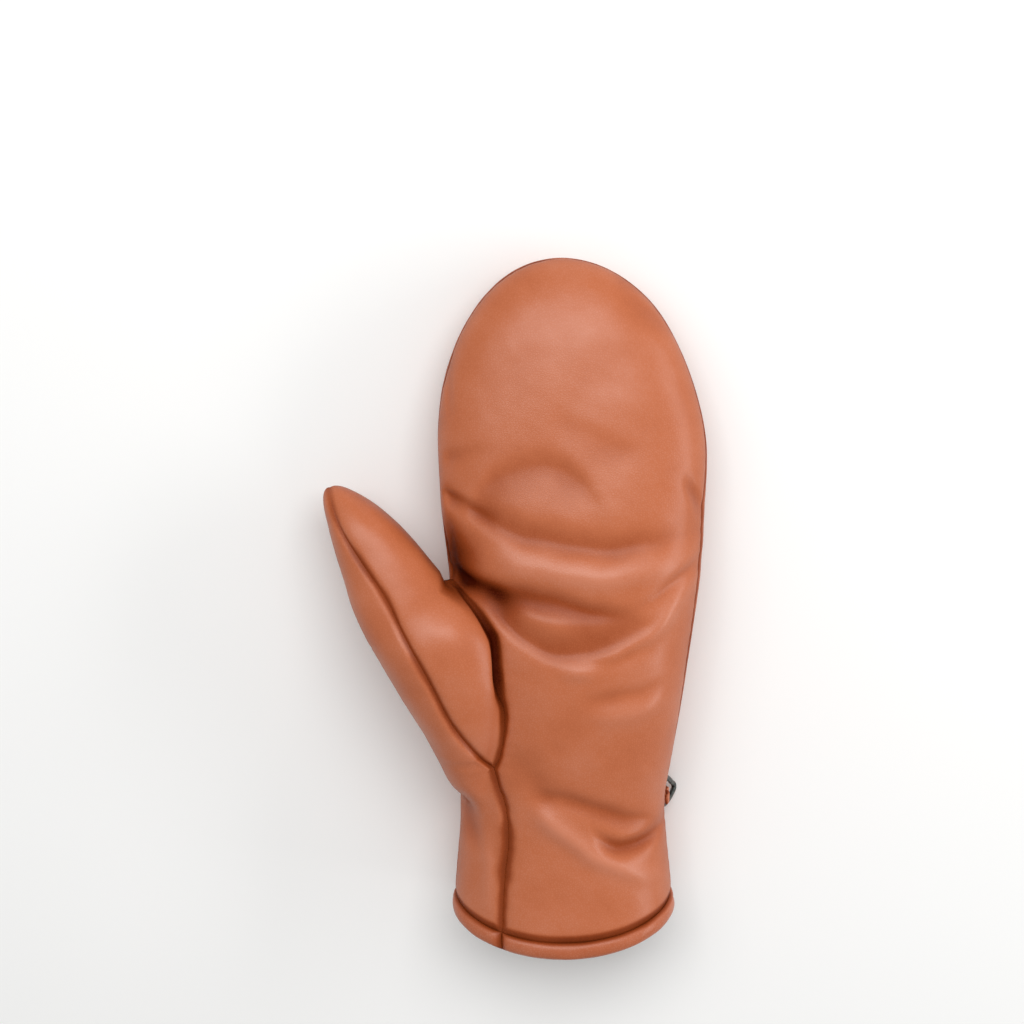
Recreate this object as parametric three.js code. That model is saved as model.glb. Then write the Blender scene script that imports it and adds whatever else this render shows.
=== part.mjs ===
import * as THREE from "three";

// A left-hand leather mitten lying on its back with the palm up, all sizes in millimetres.
// +X runs across the palm away from the thumb, +Y from the cuff to the finger tip and +Z up out of the palm.

// Leather and sewing
const LEATHER = 2.2;
const SEAM_GAP = 0.32;
const HEM_INSET = 1.65;
const OVAL_POWER = 2.2;

// Hand: the widths close in an ellipse from HAND_DOME to the finger tip, the heights from TIP_ROUND on
const FINGER_TIP = 134;
const HAND_DOME = 59;
const TIP_ROUND = 102;
const RIM = -127;
const THUMB_SEAM_FOOT = -60.6;
const CROTCH = 12.6;

// Middle of the footprint, which is set on the frame's origin
const FOOTPRINT = new THREE.Vector2(-0.4, -0.65);

// Sections across the hand, from the cuff opening to the finger tip
const HAND = sections(["centreX", "halfWidth", "centreZ", "halfHeight"], [
  // y, centre x, half width, centre z, half height
  [-142, 19.2, 43.6, 25.4, 28.6],
  [-126, 19.2, 43.4, 25.0, 28.4],
  [-112, 19.1, 42.6, 24.0, 27.4],
  [-92, 18.9, 40.8, 22.8, 26.2],
  [-76, 18.8, 40.3, 22.8, 26.0],
  [-60, 20.2, 41.4, 23.8, 27.0],
  [-40, 21.4, 43.2, 24.8, 28.4],
  [-20, 22.2, 45.2, 25.2, 28.9],
  [0, 22.6, 47.5, 24.8, 28.4],
  [20, 22.6, 49.5, 23.6, 27.0],
  [40, 22.1, 51.0, 22.0, 25.2],
  [60, 21.8, 51.9, 20.4, 23.2],
  [80, 20.7, 51.6, 19.0, 21.4],
  [100, 19.6, 51.5, 17.6, 19.2],
  [117, 19.0, 52.2, 16.6, 17.4],
  [134, 17.6, 52.4, 15.8, 15.8],
]);

// Thumb: a leaf-shaped lobe on a line from its tip down to the wrist. s runs from the tip, n across towards the palm
const THUMB_TIP = new THREE.Vector2(-72.6, 46.0);
const THUMB_FOOT = new THREE.Vector2(-13.8, -64.5);
const THUMB_DOME = 40;
const THUMB_ROUND = 24;
const THUMB = sections(["centreN", "halfWidth", "centreZ", "halfHeight"], [
  // s, centre n, half width, centre z, half height
  [0, 0.6, 12.0, 22.0, 11.0],
  [8, 2.2, 12.4, 23.2, 11.8],
  [15, 3.4, 13.2, 24.4, 12.6],
  [22, 4.2, 14.2, 25.8, 13.2],
  [35, 5.0, 16.0, 29.0, 14.4],
  [47, 5.6, 18.3, 33.2, 16.2],
  [56, 7.0, 19.8, 37.0, 17.6],
  [65, 9.3, 21.3, 39.4, 18.6],
  [74, 10.6, 22.3, 39.8, 19.0],
  [83, 10.3, 22.0, 39.2, 18.9],
  [98, 8.0, 19.2, 37.2, 18.4],
  [113, 3.4, 15.4, 34.0, 16.8],
  [125, -2.0, 10.4, 30.8, 14.2],
  [140, -3.0, 6.4, 28.0, 11.0],
  [165, 0.0, 3.0, 25.0, 6.0],
]);

// Line of the thumb's front seam on the lobe
const THUMB_SEAM = sections(["n", "depth"], [
  // s, n, groove depth
  [0, 0.6, 0.2],
  [9, -1.2, 0.5],
  [17, -1.5, 0.9],
  [31, 0.4, 1.0],
  [44, 2.8, 1.1],
  [60, 3.0, 1.1],
  [80, 3.0, 1.1],
  [97, 2.2, 1.1],
  [110, 3.6, 1.1],
  [124, 6.4, 1.4],
]);

// Seam between thumb and palm, from its foot up to the crotch
const PALM_SEAM = sections(["x", "depth"], [
  // y, x, groove depth
  [-60.6, -8.6, 1.4],
  [-55.8, -6.7, 1.4],
  [-45.7, -4.4, 1.6],
  [-36.5, -4.0, 2.0],
  [-29.0, -5.9, 2.4],
  [-23.0, -6.7, 2.6],
  [-8.4, -8.2, 2.6],
  [-1.3, -11.2, 2.4],
  [5.0, -17.6, 2.0],
  [9.0, -22.0, 1.6],
  [12.6, -25.7, 1.0],
]);

// Seam on the thumb side of the cuff
const CUFF_SEAM = sections(["x"], [
  // y, x
  [-142, -6.0],
  [-127, -5.6],
  [-112, -5.4],
  [-98, -4.4],
  [-88, -3.2],
  [-76, -4.2],
  [-66, -7.6],
  [-60.6, -8.6],
]);

// Little-finger side seam and the line under the thumb where two parts of the back panel's surface meet
const SIDE_SEAM = sections(["angle"], [
  // y, angle above the side in degrees
  [-142, 0],
  [-80, 0],
  [-60, 6],
  [-20, 13],
  [30, 13],
  [80, 5],
  [134, 0],
]);
const BACK_LINE = sections(["angle"], [
  // y, angle round the back in degrees
  [-142, -156],
  [-60.6, -152],
  [-20, -158],
  [5, -170],
  [12.6, -182],
]);

// Folds pressed into the palm: an arc from one plan point to another, its sag, depth (ridges below zero) and width
const FOLDS = [
  // x0, y0, x1, y1, sag, depth, width
  [-24, 13, 50, -3, 1.5, 3.2, 5.0],
  [-13, 3, 48, -3, -10, 2.4, 4.5],
  [-24, 47, 66, 32, -9, 2.6, 6.5],
  [-14, 50, 32, 43, 12, 1.8, 7.0],
  [-27, 58, -14, 62, 1, 1.6, 3.0],
  [12, 72, 42, 61, -1, 1.0, 5.0],
  [40, 124, 56, 111, -1, 0.8, 4.0],
  [22, -15, 51, -7, -2.5, 1.2, 2.6],
  [10, -71, 46, -84, -1, 1.4, 4.0],
  [33, -89, 53, -89, -5, 1.8, 3.5],
  [0, 23, 65, 26, -6, -0.8, 4.0],
  [17, -14, 55, 0, -5, -0.8, 4.0],
  [30, -27, 56, -19, -1, -0.9, 4.0],
  [8, -80, 51, -105, -3, -0.9, 4.5],
];

// Row positions: heights above the rim for the cuff, then y up to the crotch and the finger tip, and s for the thumb
const CUFF_ROWS = [2.3, 4.5, 7.1, 9.6, 15, 21.5, 28.5, 36, 44, 52, 59.5, THUMB_SEAM_FOOT - RIM];
const HEM_ROWS = 3;
const FORK_ROWS = 13;
const FINGER_ROWS = 7;
const DOME_ROWS = 11;
const THUMB_ROWS = [45, 38, 31, 24, 17.5, 11.5, 6.5, 2.6, 0.7, 0];
const PALM_COLUMNS = 20;
const BACK_COLUMNS = 15;
const SIDE_COLUMNS = 9;
const THUMB_COLUMNS = 11;

// Hem: a folded strip round the rim, as a closed outline of offset out of the leather and height above the rim
const HEM_OUTLINE = [
  [0.0, 6.5],
  [0.35, 4.4],
  [0.25, 2.0],
  [-0.8, 0.5],
  [-2.75, 0.0],
  [-4.7, 0.5],
  [-5.5, 2.0],
  [-5.6, 8.0],
  [-4.3, 8.0],
  [-4.25, 2.1],
  [-3.5, 1.5],
  [-2.0, 1.5],
  [-1.3, 2.1],
  [-1.25, 6.5],
];

// Keeper and ring at the little-finger side of the wrist
const RING_Y = -80.2;
const RING_BAR = 13;
const RING_DROP = 10.4;
const RING_WIRE = 0.9;
const BAR = new THREE.Vector2(59.0, 11.4);
const RING_LOW = new THREE.Vector2(64.3, 1.5);
const KEEPER_WIDTH = 4;
const KEEPER_LEATHER = 1.1;

// Colours
const TAN = new THREE.MeshStandardMaterial({ color: 0xc06a45, roughness: 0.5 });
const TAN_HEM = new THREE.MeshStandardMaterial({ color: 0xb5603d, roughness: 0.55 });
const GUNMETAL = new THREE.MeshStandardMaterial({ color: 0x3a3d3c, roughness: 0.4, metalness: 0.9 });

// Smooth curves through the rows of a table, one function for each named column after the first
function sections(names, rows) {
  const curve = (c) => (t) => {
    const last = rows.length - 1;
    if (t <= rows[0][0]) return rows[0][c];
    if (t >= rows[last][0]) return rows[last][c];
    let i = 0;
    while (rows[i + 1][0] < t) i += 1;
    const slope = (j) => {
      const a = rows[Math.max(0, j - 1)];
      const b = rows[Math.min(last, j + 1)];
      return (b[c] - a[c]) / (b[0] - a[0]);
    };
    const span = rows[i + 1][0] - rows[i][0];
    const u = (t - rows[i][0]) / span;
    const v = 1 - u;
    return (
      v * v * (1 + 2 * u) * rows[i][c] +
      u * u * (1 + 2 * v) * rows[i + 1][c] +
      span * u * v * (v * slope(i) - u * slope(i + 1))
    );
  };
  return Object.fromEntries(names.map((name, c) => [name, curve(c + 1)]));
}

const mix = (a, b, t) => a + (b - a) * t;

function smoothstep(from, to, t) {
  const u = Math.min(1, Math.max(0, (t - from) / (to - from)));
  return u * u * (3 - 2 * u);
}

// Quarter ellipse that falls from 1 at start to 0 at end
function dome(t, start, end) {
  if (t <= start) return 1;
  const u = Math.min(1, (t - start) / (end - start));
  return Math.sqrt(1 - u * u);
}

function smoothMin(a, b, blend) {
  const h = Math.max(0, blend - Math.abs(a - b)) / blend;
  return Math.min(a, b) - (h * h * blend) / 4;
}

// Signed distance along the radius of an oval
function oval(dx, dz, halfWidth, halfHeight) {
  const w = Math.max(0.1, halfWidth);
  const h = Math.max(0.1, halfHeight);
  const ratio = (Math.abs(dx / w) ** OVAL_POWER + Math.abs(dz / h) ** OVAL_POWER) ** (1 / OVAL_POWER);
  if (ratio < 1e-6) return -Math.min(w, h);
  return Math.hypot(dx, dz) * (1 - 1 / ratio);
}

const THUMB_ALONG = THUMB_FOOT.clone().sub(THUMB_TIP).normalize();
const THUMB_ACROSS = new THREE.Vector2(-THUMB_ALONG.y, THUMB_ALONG.x);

const handWidth = (y) => HAND.halfWidth(y) * dome(y, HAND_DOME, FINGER_TIP);
const handHeight = (y) => HAND.halfHeight(y) * dome(y, TIP_ROUND, FINGER_TIP);
const thumbWidth = (s) => THUMB.halfWidth(s) * dome(-s, -THUMB_DOME, 0);
const thumbHeight = (s) => THUMB.halfHeight(s) * dome(-s, -THUMB_ROUND, 0);

function handField(x, y, z) {
  return oval(x - HAND.centreX(y), z - HAND.centreZ(y), handWidth(y), handHeight(y));
}

function thumbField(x, y, z) {
  const dx = x - THUMB_TIP.x;
  const dy = y - THUMB_TIP.y;
  const s = dx * THUMB_ALONG.x + dy * THUMB_ALONG.y;
  const n = dx * THUMB_ACROSS.x + dy * THUMB_ACROSS.y;
  const beyond = Math.max(0, s - 165, -s);
  return oval(n - THUMB.centreN(s), z - THUMB.centreZ(s), thumbWidth(s), thumbHeight(s)) + beyond;
}

// Depth of the folds at a plan point
function foldDepth(x, y) {
  let depth = 0;
  for (const [x0, y0, x1, y1, sag, amount, width] of FOLDS) {
    const length = Math.hypot(x1 - x0, y1 - y0);
    const ax = (x1 - x0) / length;
    const ay = (y1 - y0) / length;
    const t = ((x - x0) * ax + (y - y0) * ay) / length;
    const off = (y - y0) * ax - (x - x0) * ay - 4 * sag * t * (1 - t);
    const ends = smoothstep(-0.12, 0.15, t) * (1 - smoothstep(0.85, 1.12, t));
    depth += amount * ends * Math.exp(-((off / width) ** 2));
  }
  return depth;
}

// Below zero inside the mitten's outer surface: hand and thumb blended, folds pressed in, flattened on the floor
function field(x, y, z) {
  const blend = mix(13, 3.5, smoothstep(6, 24, z));
  const soft = smoothMin(handField(x, y, z), thumbField(x, y, z), blend);
  const front = smoothstep(-4, 8, z - HAND.centreZ(y));
  const folded = front > 0 ? soft + front * foldDepth(x, y) : soft;
  return -smoothMin(-folded, z, 2);
}

// Distance from a point inside to the first crossing of the outer surface
function reach(from, direction) {
  const at = (r) => field(from.x + r * direction.x, from.y + r * direction.y, from.z + r * direction.z);
  let outside = 2;
  while (outside < 160 && at(outside) < 0) outside += 2;
  let inside = outside - 2;
  for (let i = 0; i < 22; i += 1) {
    const middle = (inside + outside) / 2;
    if (at(middle) < 0) inside = middle;
    else outside = middle;
  }
  return outside;
}

const vertex = (point, depth = 0, width = 2.2) => ({
  point,
  normal: new THREE.Vector3(),
  sink: depth,
  grooveWidth: width,
});

// Section planes: an origin, a horizontal axis across, an axis along, and the half sizes that scale angles
function plane(origin, across, halfWidth, halfHeight) {
  const along = new THREE.Vector3(-across.y, across.x, 0);
  return { origin, across, along, halfWidth: Math.max(1, halfWidth), halfHeight: Math.max(1, halfHeight) };
}

function handPlane(y) {
  const origin = new THREE.Vector3(HAND.centreX(y), y, HAND.centreZ(y));
  return plane(origin, new THREE.Vector3(1, 0, 0), handWidth(y), handHeight(y));
}

function thumbPoint(s, n, z) {
  const flat = THUMB_TIP.clone().addScaledVector(THUMB_ALONG, s).addScaledVector(THUMB_ACROSS, n);
  return new THREE.Vector3(flat.x, flat.y, z);
}

function thumbPlane(s) {
  const across = new THREE.Vector3(THUMB_ACROSS.x, THUMB_ACROSS.y, 0);
  return plane(thumbPoint(s, THUMB.centreN(s), THUMB.centreZ(s)), across, thumbWidth(s), thumbHeight(s));
}

function blendPlanes(a, b, t) {
  return plane(
    a.origin.clone().lerp(b.origin, t),
    a.across.clone().lerp(b.across, t).normalize(),
    mix(a.halfWidth, b.halfWidth, t),
    mix(a.halfHeight, b.halfHeight, t),
  );
}

function castPoint(section, angle, offset) {
  const direction = section.across
    .clone()
    .multiplyScalar(Math.cos(angle) * section.halfWidth)
    .setZ(Math.sin(angle) * section.halfHeight)
    .normalize();
  const from = section.origin.clone().addScaledVector(section.along, offset);
  const point = from.addScaledVector(direction, reach(from, direction));
  if (Math.abs(point.z) < 0.01) point.z = 0;
  return point;
}

// Surface vertices from one seam vertex to another, way +1 turning over the palm side and -1 round the back.
// The first and last spaces are short, so that the leather can dip into the seams.
function row(section, start, end, way, columns, offsetAt) {
  const place = (v) => v.point.clone().sub(section.origin);
  const angleOf = (v) =>
    Math.atan2(place(v).z / section.halfHeight, place(v).dot(section.across) / section.halfWidth);
  const a0 = angleOf(start);
  let a1 = angleOf(end);
  while ((a1 - a0) * way < 0) a1 += 2 * Math.PI * way;
  const o0 = place(start).dot(section.along);
  const o1 = place(end).dot(section.along);
  const cast = (t) => {
    const angle = mix(a0, a1, t);
    return castPoint(section, angle, offsetAt ? offsetAt(angle) : mix(o0, o1, t));
  };
  const samples = Array.from({ length: 41 }, (_, i) => cast(i / 40));
  const lengths = [0];
  for (let i = 1; i <= 40; i += 1) lengths.push(lengths[i - 1] + samples[i].distanceTo(samples[i - 1]));
  const total = lengths[40];
  const edge = Math.min(2, total / columns);
  const vertices = [start];
  for (let k = 1; k < columns; k += 1) {
    const length = edge + ((total - 2 * edge) * (k - 1)) / (columns - 2);
    let i = 0;
    while (i < 39 && lengths[i + 1] < length) i += 1;
    const t = (i + (length - lengths[i]) / (lengths[i + 1] - lengths[i])) / 40;
    const v = vertex(cast(t));
    v.angle = mix(a0, a1, t);
    v.sink = Math.max(
      start.sink * Math.exp(-((length / start.grooveWidth) ** 2)),
      end.sink * Math.exp(-(((total - length) / end.grooveWidth) ** 2)),
    );
    vertices.push(v);
  }
  vertices.push(end);
  vertices.centre = section.origin;
  return vertices;
}

// Rim of the cuff: its y at an angle round the opening, longest at the middle of the palm
function rimY(angle) {
  return -123.5 + 0.3 * Math.cos(angle) - 3.9 * Math.sin(angle) - 7.4 * Math.sin(angle) ** 2;
}

// Offset of a cuff row from its plane, so that the lowest rows follow the rim
const rimOffset = (height) => (angle) => (rimY(angle) - RIM) * (1 - smoothstep(10, 60, height));

// Vertex where a vertical line meets the top of the surface
function topVertex(x, y, depth, width) {
  let z = 75;
  while (field(x, y, z) > 0) z -= 0.5;
  let above = z + 0.5;
  for (let i = 0; i < 20; i += 1) {
    const middle = (z + above) / 2;
    if (field(x, y, middle) < 0) z = middle;
    else above = middle;
  }
  return vertex(new THREE.Vector3(x, y, z), depth, width);
}

// Vertex on a hand section at a given x over the palm
function palmVertex(section, x, offsetAt, depth, width) {
  let low = Math.PI / 2;
  let high = Math.PI * 0.995;
  for (let i = 0; i < 30; i += 1) {
    const middle = (low + high) / 2;
    if (castPoint(section, middle, offsetAt(middle)).x > x) low = middle;
    else high = middle;
  }
  const v = vertex(castPoint(section, low, offsetAt(low)), depth, width);
  v.angle = low;
  return v;
}

function handVertex(section, degrees, offsetAt, depth) {
  const angle = (degrees * Math.PI) / 180;
  const v = vertex(castPoint(section, angle, offsetAt(angle)), depth);
  v.angle = angle;
  return v;
}

const level = () => 0;

// Hand rows, each with its section plane and the offset that bends it to the rim
const handRows = CUFF_ROWS.map((height) => ({ y: RIM + height, offset: rimOffset(height) }));
for (let i = 1; i <= FORK_ROWS; i += 1) {
  handRows.push({ y: mix(THUMB_SEAM_FOOT, CROTCH, i / FORK_ROWS), offset: level });
}
for (let i = 1; i <= FINGER_ROWS; i += 1) {
  handRows.push({ y: mix(CROTCH, HAND_DOME, i / FINGER_ROWS), offset: level });
}
for (let i = 1; i <= DOME_ROWS; i += 1) {
  const turn = (Math.PI / 2) * (i / DOME_ROWS);
  handRows.push({ y: mix(HAND_DOME, FINGER_TIP, Math.sin(turn)), offset: level });
}
const FOOT_ROW = CUFF_ROWS.length - 1;
const CROTCH_ROW = FOOT_ROW + FORK_ROWS;
const TIP_ROW = handRows.length - 1;

// Seam vertices, shared by the panels that meet there
const fingerTip = vertex(new THREE.Vector3(HAND.centreX(FINGER_TIP), FINGER_TIP, HAND.centreZ(FINGER_TIP)), 0.5);
const sideSeam = [];
const thumbSideSeam = [];
const backLine = [];
handRows.forEach(({ y, offset }, i) => {
  const section = handPlane(y);
  if (i === TIP_ROW) {
    sideSeam.push(fingerTip);
    thumbSideSeam.push(fingerTip);
    return;
  }
  sideSeam.push(handVertex(section, SIDE_SEAM.angle(y), offset, 0.9));
  if (i < FOOT_ROW) thumbSideSeam.push(palmVertex(section, CUFF_SEAM.x(y), offset, 1.2, 2.6));
  else if (i <= CROTCH_ROW) thumbSideSeam.push(palmVertex(section, PALM_SEAM.x(y), offset, PALM_SEAM.depth(y), 3));
  else thumbSideSeam.push(handVertex(section, 178, offset, 0.8));
  if (i < CROTCH_ROW) backLine.push(handVertex(section, BACK_LINE.angle(y), offset, 0));
  else if (i === CROTCH_ROW) backLine.push(thumbSideSeam[i]);
});

const thumbFront = [thumbSideSeam[FOOT_ROW]];
const thumbRear = [thumbSideSeam[CROTCH_ROW]];
const alongThumb = (v) =>
  (v.point.x - THUMB_TIP.x) * THUMB_ALONG.x + (v.point.y - THUMB_TIP.y) * THUMB_ALONG.y;
const footS = alongThumb(thumbSideSeam[FOOT_ROW]);
const crotchS = alongThumb(thumbSideSeam[CROTCH_ROW]);
const frontVertex = (s) => {
  const plan = thumbPoint(s, THUMB_SEAM.n(s), 0);
  return topVertex(plan.x, plan.y, THUMB_SEAM.depth(s), 2.4);
};
for (let k = 1; k <= FORK_ROWS; k += 1) thumbFront.push(frontVertex(mix(footS, crotchS, k / FORK_ROWS)));
THUMB_ROWS.forEach((s) => {
  if (s === 0) {
    const tip = vertex(thumbPoint(0, THUMB.centreN(0), THUMB.centreZ(0)), 0.2);
    thumbFront.push(tip);
    thumbRear.push(tip);
    return;
  }
  thumbFront.push(frontVertex(s));
  const angle = (-Math.PI / 180) * mix(60, 5, smoothstep(10, crotchS, s));
  thumbRear.push(vertex(castPoint(thumbPlane(s), angle, 0), 0.7));
});

// Rows of each panel
const collapsed = (v, columns, centre) => {
  const vertices = Array(columns + 1).fill(v);
  vertices.centre = centre;
  return vertices;
};

const palmRows = handRows.map(({ y, offset }, i) =>
  i === TIP_ROW
    ? collapsed(fingerTip, PALM_COLUMNS, handPlane(y).origin)
    : row(handPlane(y), sideSeam[i], thumbSideSeam[i], 1, PALM_COLUMNS, i <= FOOT_ROW ? offset : null),
);

const backRows = handRows.map(({ y, offset }, i) =>
  i === TIP_ROW
    ? collapsed(fingerTip, BACK_COLUMNS, handPlane(y).origin)
    : row(
        handPlane(y),
        sideSeam[i],
        i <= CROTCH_ROW ? backLine[i] : thumbSideSeam[i],
        -1,
        BACK_COLUMNS,
        i <= FOOT_ROW ? offset : null,
      ),
);

const wrapRows = [];
for (let i = 0; i <= FOOT_ROW; i += 1) {
  const { y, offset } = handRows[i];
  wrapRows.push(row(handPlane(y), backLine[i], thumbSideSeam[i], -1, SIDE_COLUMNS, offset));
}
for (let k = 1; k <= FORK_ROWS; k += 1) {
  const fork = k / FORK_ROWS;
  const hand = handPlane(handRows[FOOT_ROW + k].y);
  const section = blendPlanes(hand, thumbPlane(mix(footS, crotchS, fork)), smoothstep(0, 1, fork));
  wrapRows.push(row(section, backLine[FOOT_ROW + k], thumbFront[k], -1, SIDE_COLUMNS));
}
THUMB_ROWS.forEach((s, k) => {
  const front = thumbFront[FORK_ROWS + 1 + k];
  wrapRows.push(
    s === 0
      ? collapsed(front, SIDE_COLUMNS, thumbPlane(s).origin)
      : row(thumbPlane(s), thumbRear[k + 1], front, -1, SIDE_COLUMNS),
  );
});

const thumbRows = [collapsed(thumbFront[0], THUMB_COLUMNS, thumbPlane(footS).origin)];
for (let k = 1; k <= FORK_ROWS; k += 1) {
  const low = thumbSideSeam[FOOT_ROW + k];
  const section = thumbPlane((alongThumb(low) + alongThumb(thumbFront[k])) / 2);
  thumbRows.push(row(section, low, thumbFront[k], 1, THUMB_COLUMNS));
}
THUMB_ROWS.forEach((s, k) => {
  const front = thumbFront[FORK_ROWS + 1 + k];
  thumbRows.push(
    s === 0
      ? collapsed(front, THUMB_COLUMNS, thumbPlane(s).origin)
      : row(thumbPlane(s), thumbRear[k + 1], front, 1, THUMB_COLUMNS),
  );
});

// Below the hem the panels step in, to lie inside the folded strip
for (const rows of [palmRows, backRows, wrapRows]) {
  for (let i = 0; i < HEM_ROWS; i += 1) {
    for (const v of rows[i]) v.sink = HEM_INSET;
  }
}

const cross = (a, b, c) => b.clone().sub(a).cross(c.clone().sub(a));

// Triangles between neighbouring rows, all facing away from the section centres
function triangles(rows) {
  const list = [];
  let facing = 0;
  for (let i = 0; i + 1 < rows.length; i += 1) {
    for (let j = 0; j + 1 < rows[i].length; j += 1) {
      const corners = [rows[i][j], rows[i][j + 1], rows[i + 1][j + 1], rows[i + 1][j]];
      const [a, b, c, d] = corners;
      const first = a.point.distanceTo(c.point) <= 1.25 * b.point.distanceTo(d.point);
      const pair = first ? [[a, b, c], [a, c, d]] : [[a, b, d], [b, c, d]];
      for (const triangle of pair) {
        if (new Set(triangle).size < 3) continue;
        const [p, q, r] = triangle.map((v) => v.point);
        facing += cross(p, q, r).dot(p.clone().sub(rows[i].centre));
        list.push(triangle);
      }
    }
  }
  return facing < 0 ? list.map(([a, b, c]) => [a, c, b]) : list;
}

const panels = {
  palm_panel: triangles(palmRows),
  back_panel: [...triangles(backRows), ...triangles(wrapRows)],
  thumb_panel: triangles(thumbRows),
};

// Vertex normals over all panels, so that the leather has the same direction on both sides of a seam
for (const list of Object.values(panels)) {
  for (const triangle of list) {
    const normal = cross(...triangle.map((v) => v.point));
    for (const v of triangle) v.normal.add(normal);
  }
}
const skin = [...new Set(Object.values(panels).flat(2))];
for (const v of skin) v.normal.normalize();
for (let pass = 0; pass < 2; pass += 1) {
  const blurred = new Map(skin.map((v) => [v, v.normal.clone()]));
  for (const triangle of Object.values(panels).flat()) {
    const sum = triangle.reduce((total, v) => total.add(v.normal), new THREE.Vector3());
    for (const v of triangle) blurred.get(v).addScaledVector(sum, 0.12);
  }
  for (const v of skin) v.normal.copy(blurred.get(v)).normalize();
}

function geometry(positions, faces) {
  const made = new THREE.BufferGeometry();
  made.setAttribute("position", new THREE.Float32BufferAttribute(positions.flatMap((p) => p.toArray()), 3));
  made.setIndex(faces.flat());
  made.computeVertexNormals();
  return made;
}

// A panel's solid: the outer skin drawn back from its seams by half the gap, the same skin one leather
// thickness further in, and a wall between them all round the edge
function panelGeometry(list) {
  const vertices = [...new Set(list.flat())];
  const index = new Map(vertices.map((v, i) => [v, i]));
  const faces = list.map((triangle) => triangle.map((v) => index.get(v)));
  const edges = new Set(faces.flatMap(([a, b, c]) => [`${a} ${b}`, `${b} ${c}`, `${c} ${a}`]));
  const after = new Map();
  const before = new Map();
  for (const edge of edges) {
    const [a, b] = edge.split(" ").map(Number);
    if (edges.has(`${b} ${a}`)) continue;
    after.set(a, b);
    before.set(b, a);
  }
  const sunk = vertices.map((v) => v.point.clone().addScaledVector(v.normal, -v.sink));
  const inward = (a, b, normal) => normal.clone().cross(sunk[b].clone().sub(sunk[a])).normalize();
  const outer = sunk.map((p, i) => {
    if (!after.has(i)) return p;
    const first = inward(before.get(i), i, vertices[i].normal);
    const second = inward(i, after.get(i), vertices[i].normal);
    const miter = SEAM_GAP / 2 / Math.max(0.35, 1 + first.dot(second));
    return p.clone().addScaledVector(first.add(second), miter);
  });
  const inner = outer.map((p, i) => p.clone().addScaledVector(vertices[i].normal, -LEATHER));
  const count = vertices.length;
  const walls = [...after].flatMap(([a, b]) =>
    vertices[a].point.y < vertices[b].point.y
      ? [[b, a, a + count], [b, a + count, b + count]]
      : [[b, a, b + count], [a, a + count, b + count]],
  );
  const back = faces.map(([a, b, c]) => [a + count, c + count, b + count]);
  return geometry([...outer, ...inner], [...faces, ...back, ...walls]);
}

// The hem strip over one panel's lower edge, a section at each of the panel's own columns
function hemGeometry(angles) {
  const surface = (angle, height) => {
    const y = rimY(angle) + height;
    return castPoint(handPlane(y), angle, 0);
  };
  const ends = [angles[0], angles[angles.length - 1]];
  const rings = angles.map((angle) => {
    const turn = Math.sign(ends[1] - ends[0]) * 0.01;
    const tangent = surface(angle + turn, 3.5).sub(surface(angle - turn, 3.5)).normalize();
    const normal = tangent.clone().setY(0).normalize().cross(new THREE.Vector3(0, -Math.sign(turn), 0));
    const end = angle === ends[0] ? 1 : angle === ends[1] ? -1 : 0;
    return HEM_OUTLINE.map(([out, height]) => {
      const point = surface(angle, height).addScaledVector(normal, out);
      point.addScaledVector(tangent, (end * SEAM_GAP) / 2);
      point.z = Math.max(0, point.z);
      return point;
    });
  });
  const size = HEM_OUTLINE.length;
  const faces = [];
  for (let i = 0; i + 1 < rings.length; i += 1) {
    for (let j = 0; j < size; j += 1) {
      const a = i * size + j;
      const b = i * size + ((j + 1) % size);
      faces.push([a, b, b + size], [a, b + size, a + size]);
    }
  }
  const outline = HEM_OUTLINE.map(([out, height]) => new THREE.Vector2(out, height));
  const cap = THREE.ShapeUtils.triangulateShape(outline, []);
  const last = (rings.length - 1) * size;
  for (const [a, b, c] of cap) faces.push([a, b, c], [a + last, c + last, b + last]);
  return outward(geometry(rings.flat(), faces));
}

// Turns a closed geometry's faces outwards, from the sign of its volume
function outward(made) {
  const index = made.getIndex();
  const at = (i) => new THREE.Vector3().fromBufferAttribute(made.getAttribute("position"), index.getX(i));
  let volume = 0;
  for (let i = 0; i < index.count; i += 3) volume += at(i).dot(at(i + 1).cross(at(i + 2)));
  if (volume < 0) index.array.reverse();
  return made;
}

const mitten = new THREE.Group();
mitten.position.set(-FOOTPRINT.x, -FOOTPRINT.y, 0);
function add(name, made, material) {
  const mesh = new THREE.Mesh(made, material);
  mesh.name = name;
  mitten.add(mesh);
  return mesh;
}

for (const [name, list] of Object.entries(panels)) add(name, panelGeometry(list), TAN);
add("palm_hem", hemGeometry(palmRows[0].map((v) => v.angle)), TAN_HEM);
const unwrapped = (angle) => (angle > 0.5 ? angle - 2 * Math.PI : angle);
const aroundBack = [...backRows[0], ...wrapRows[0].slice(1)].map((v) => unwrapped(v.angle));
add("back_hem", hemGeometry(aroundBack), TAN_HEM);

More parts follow.
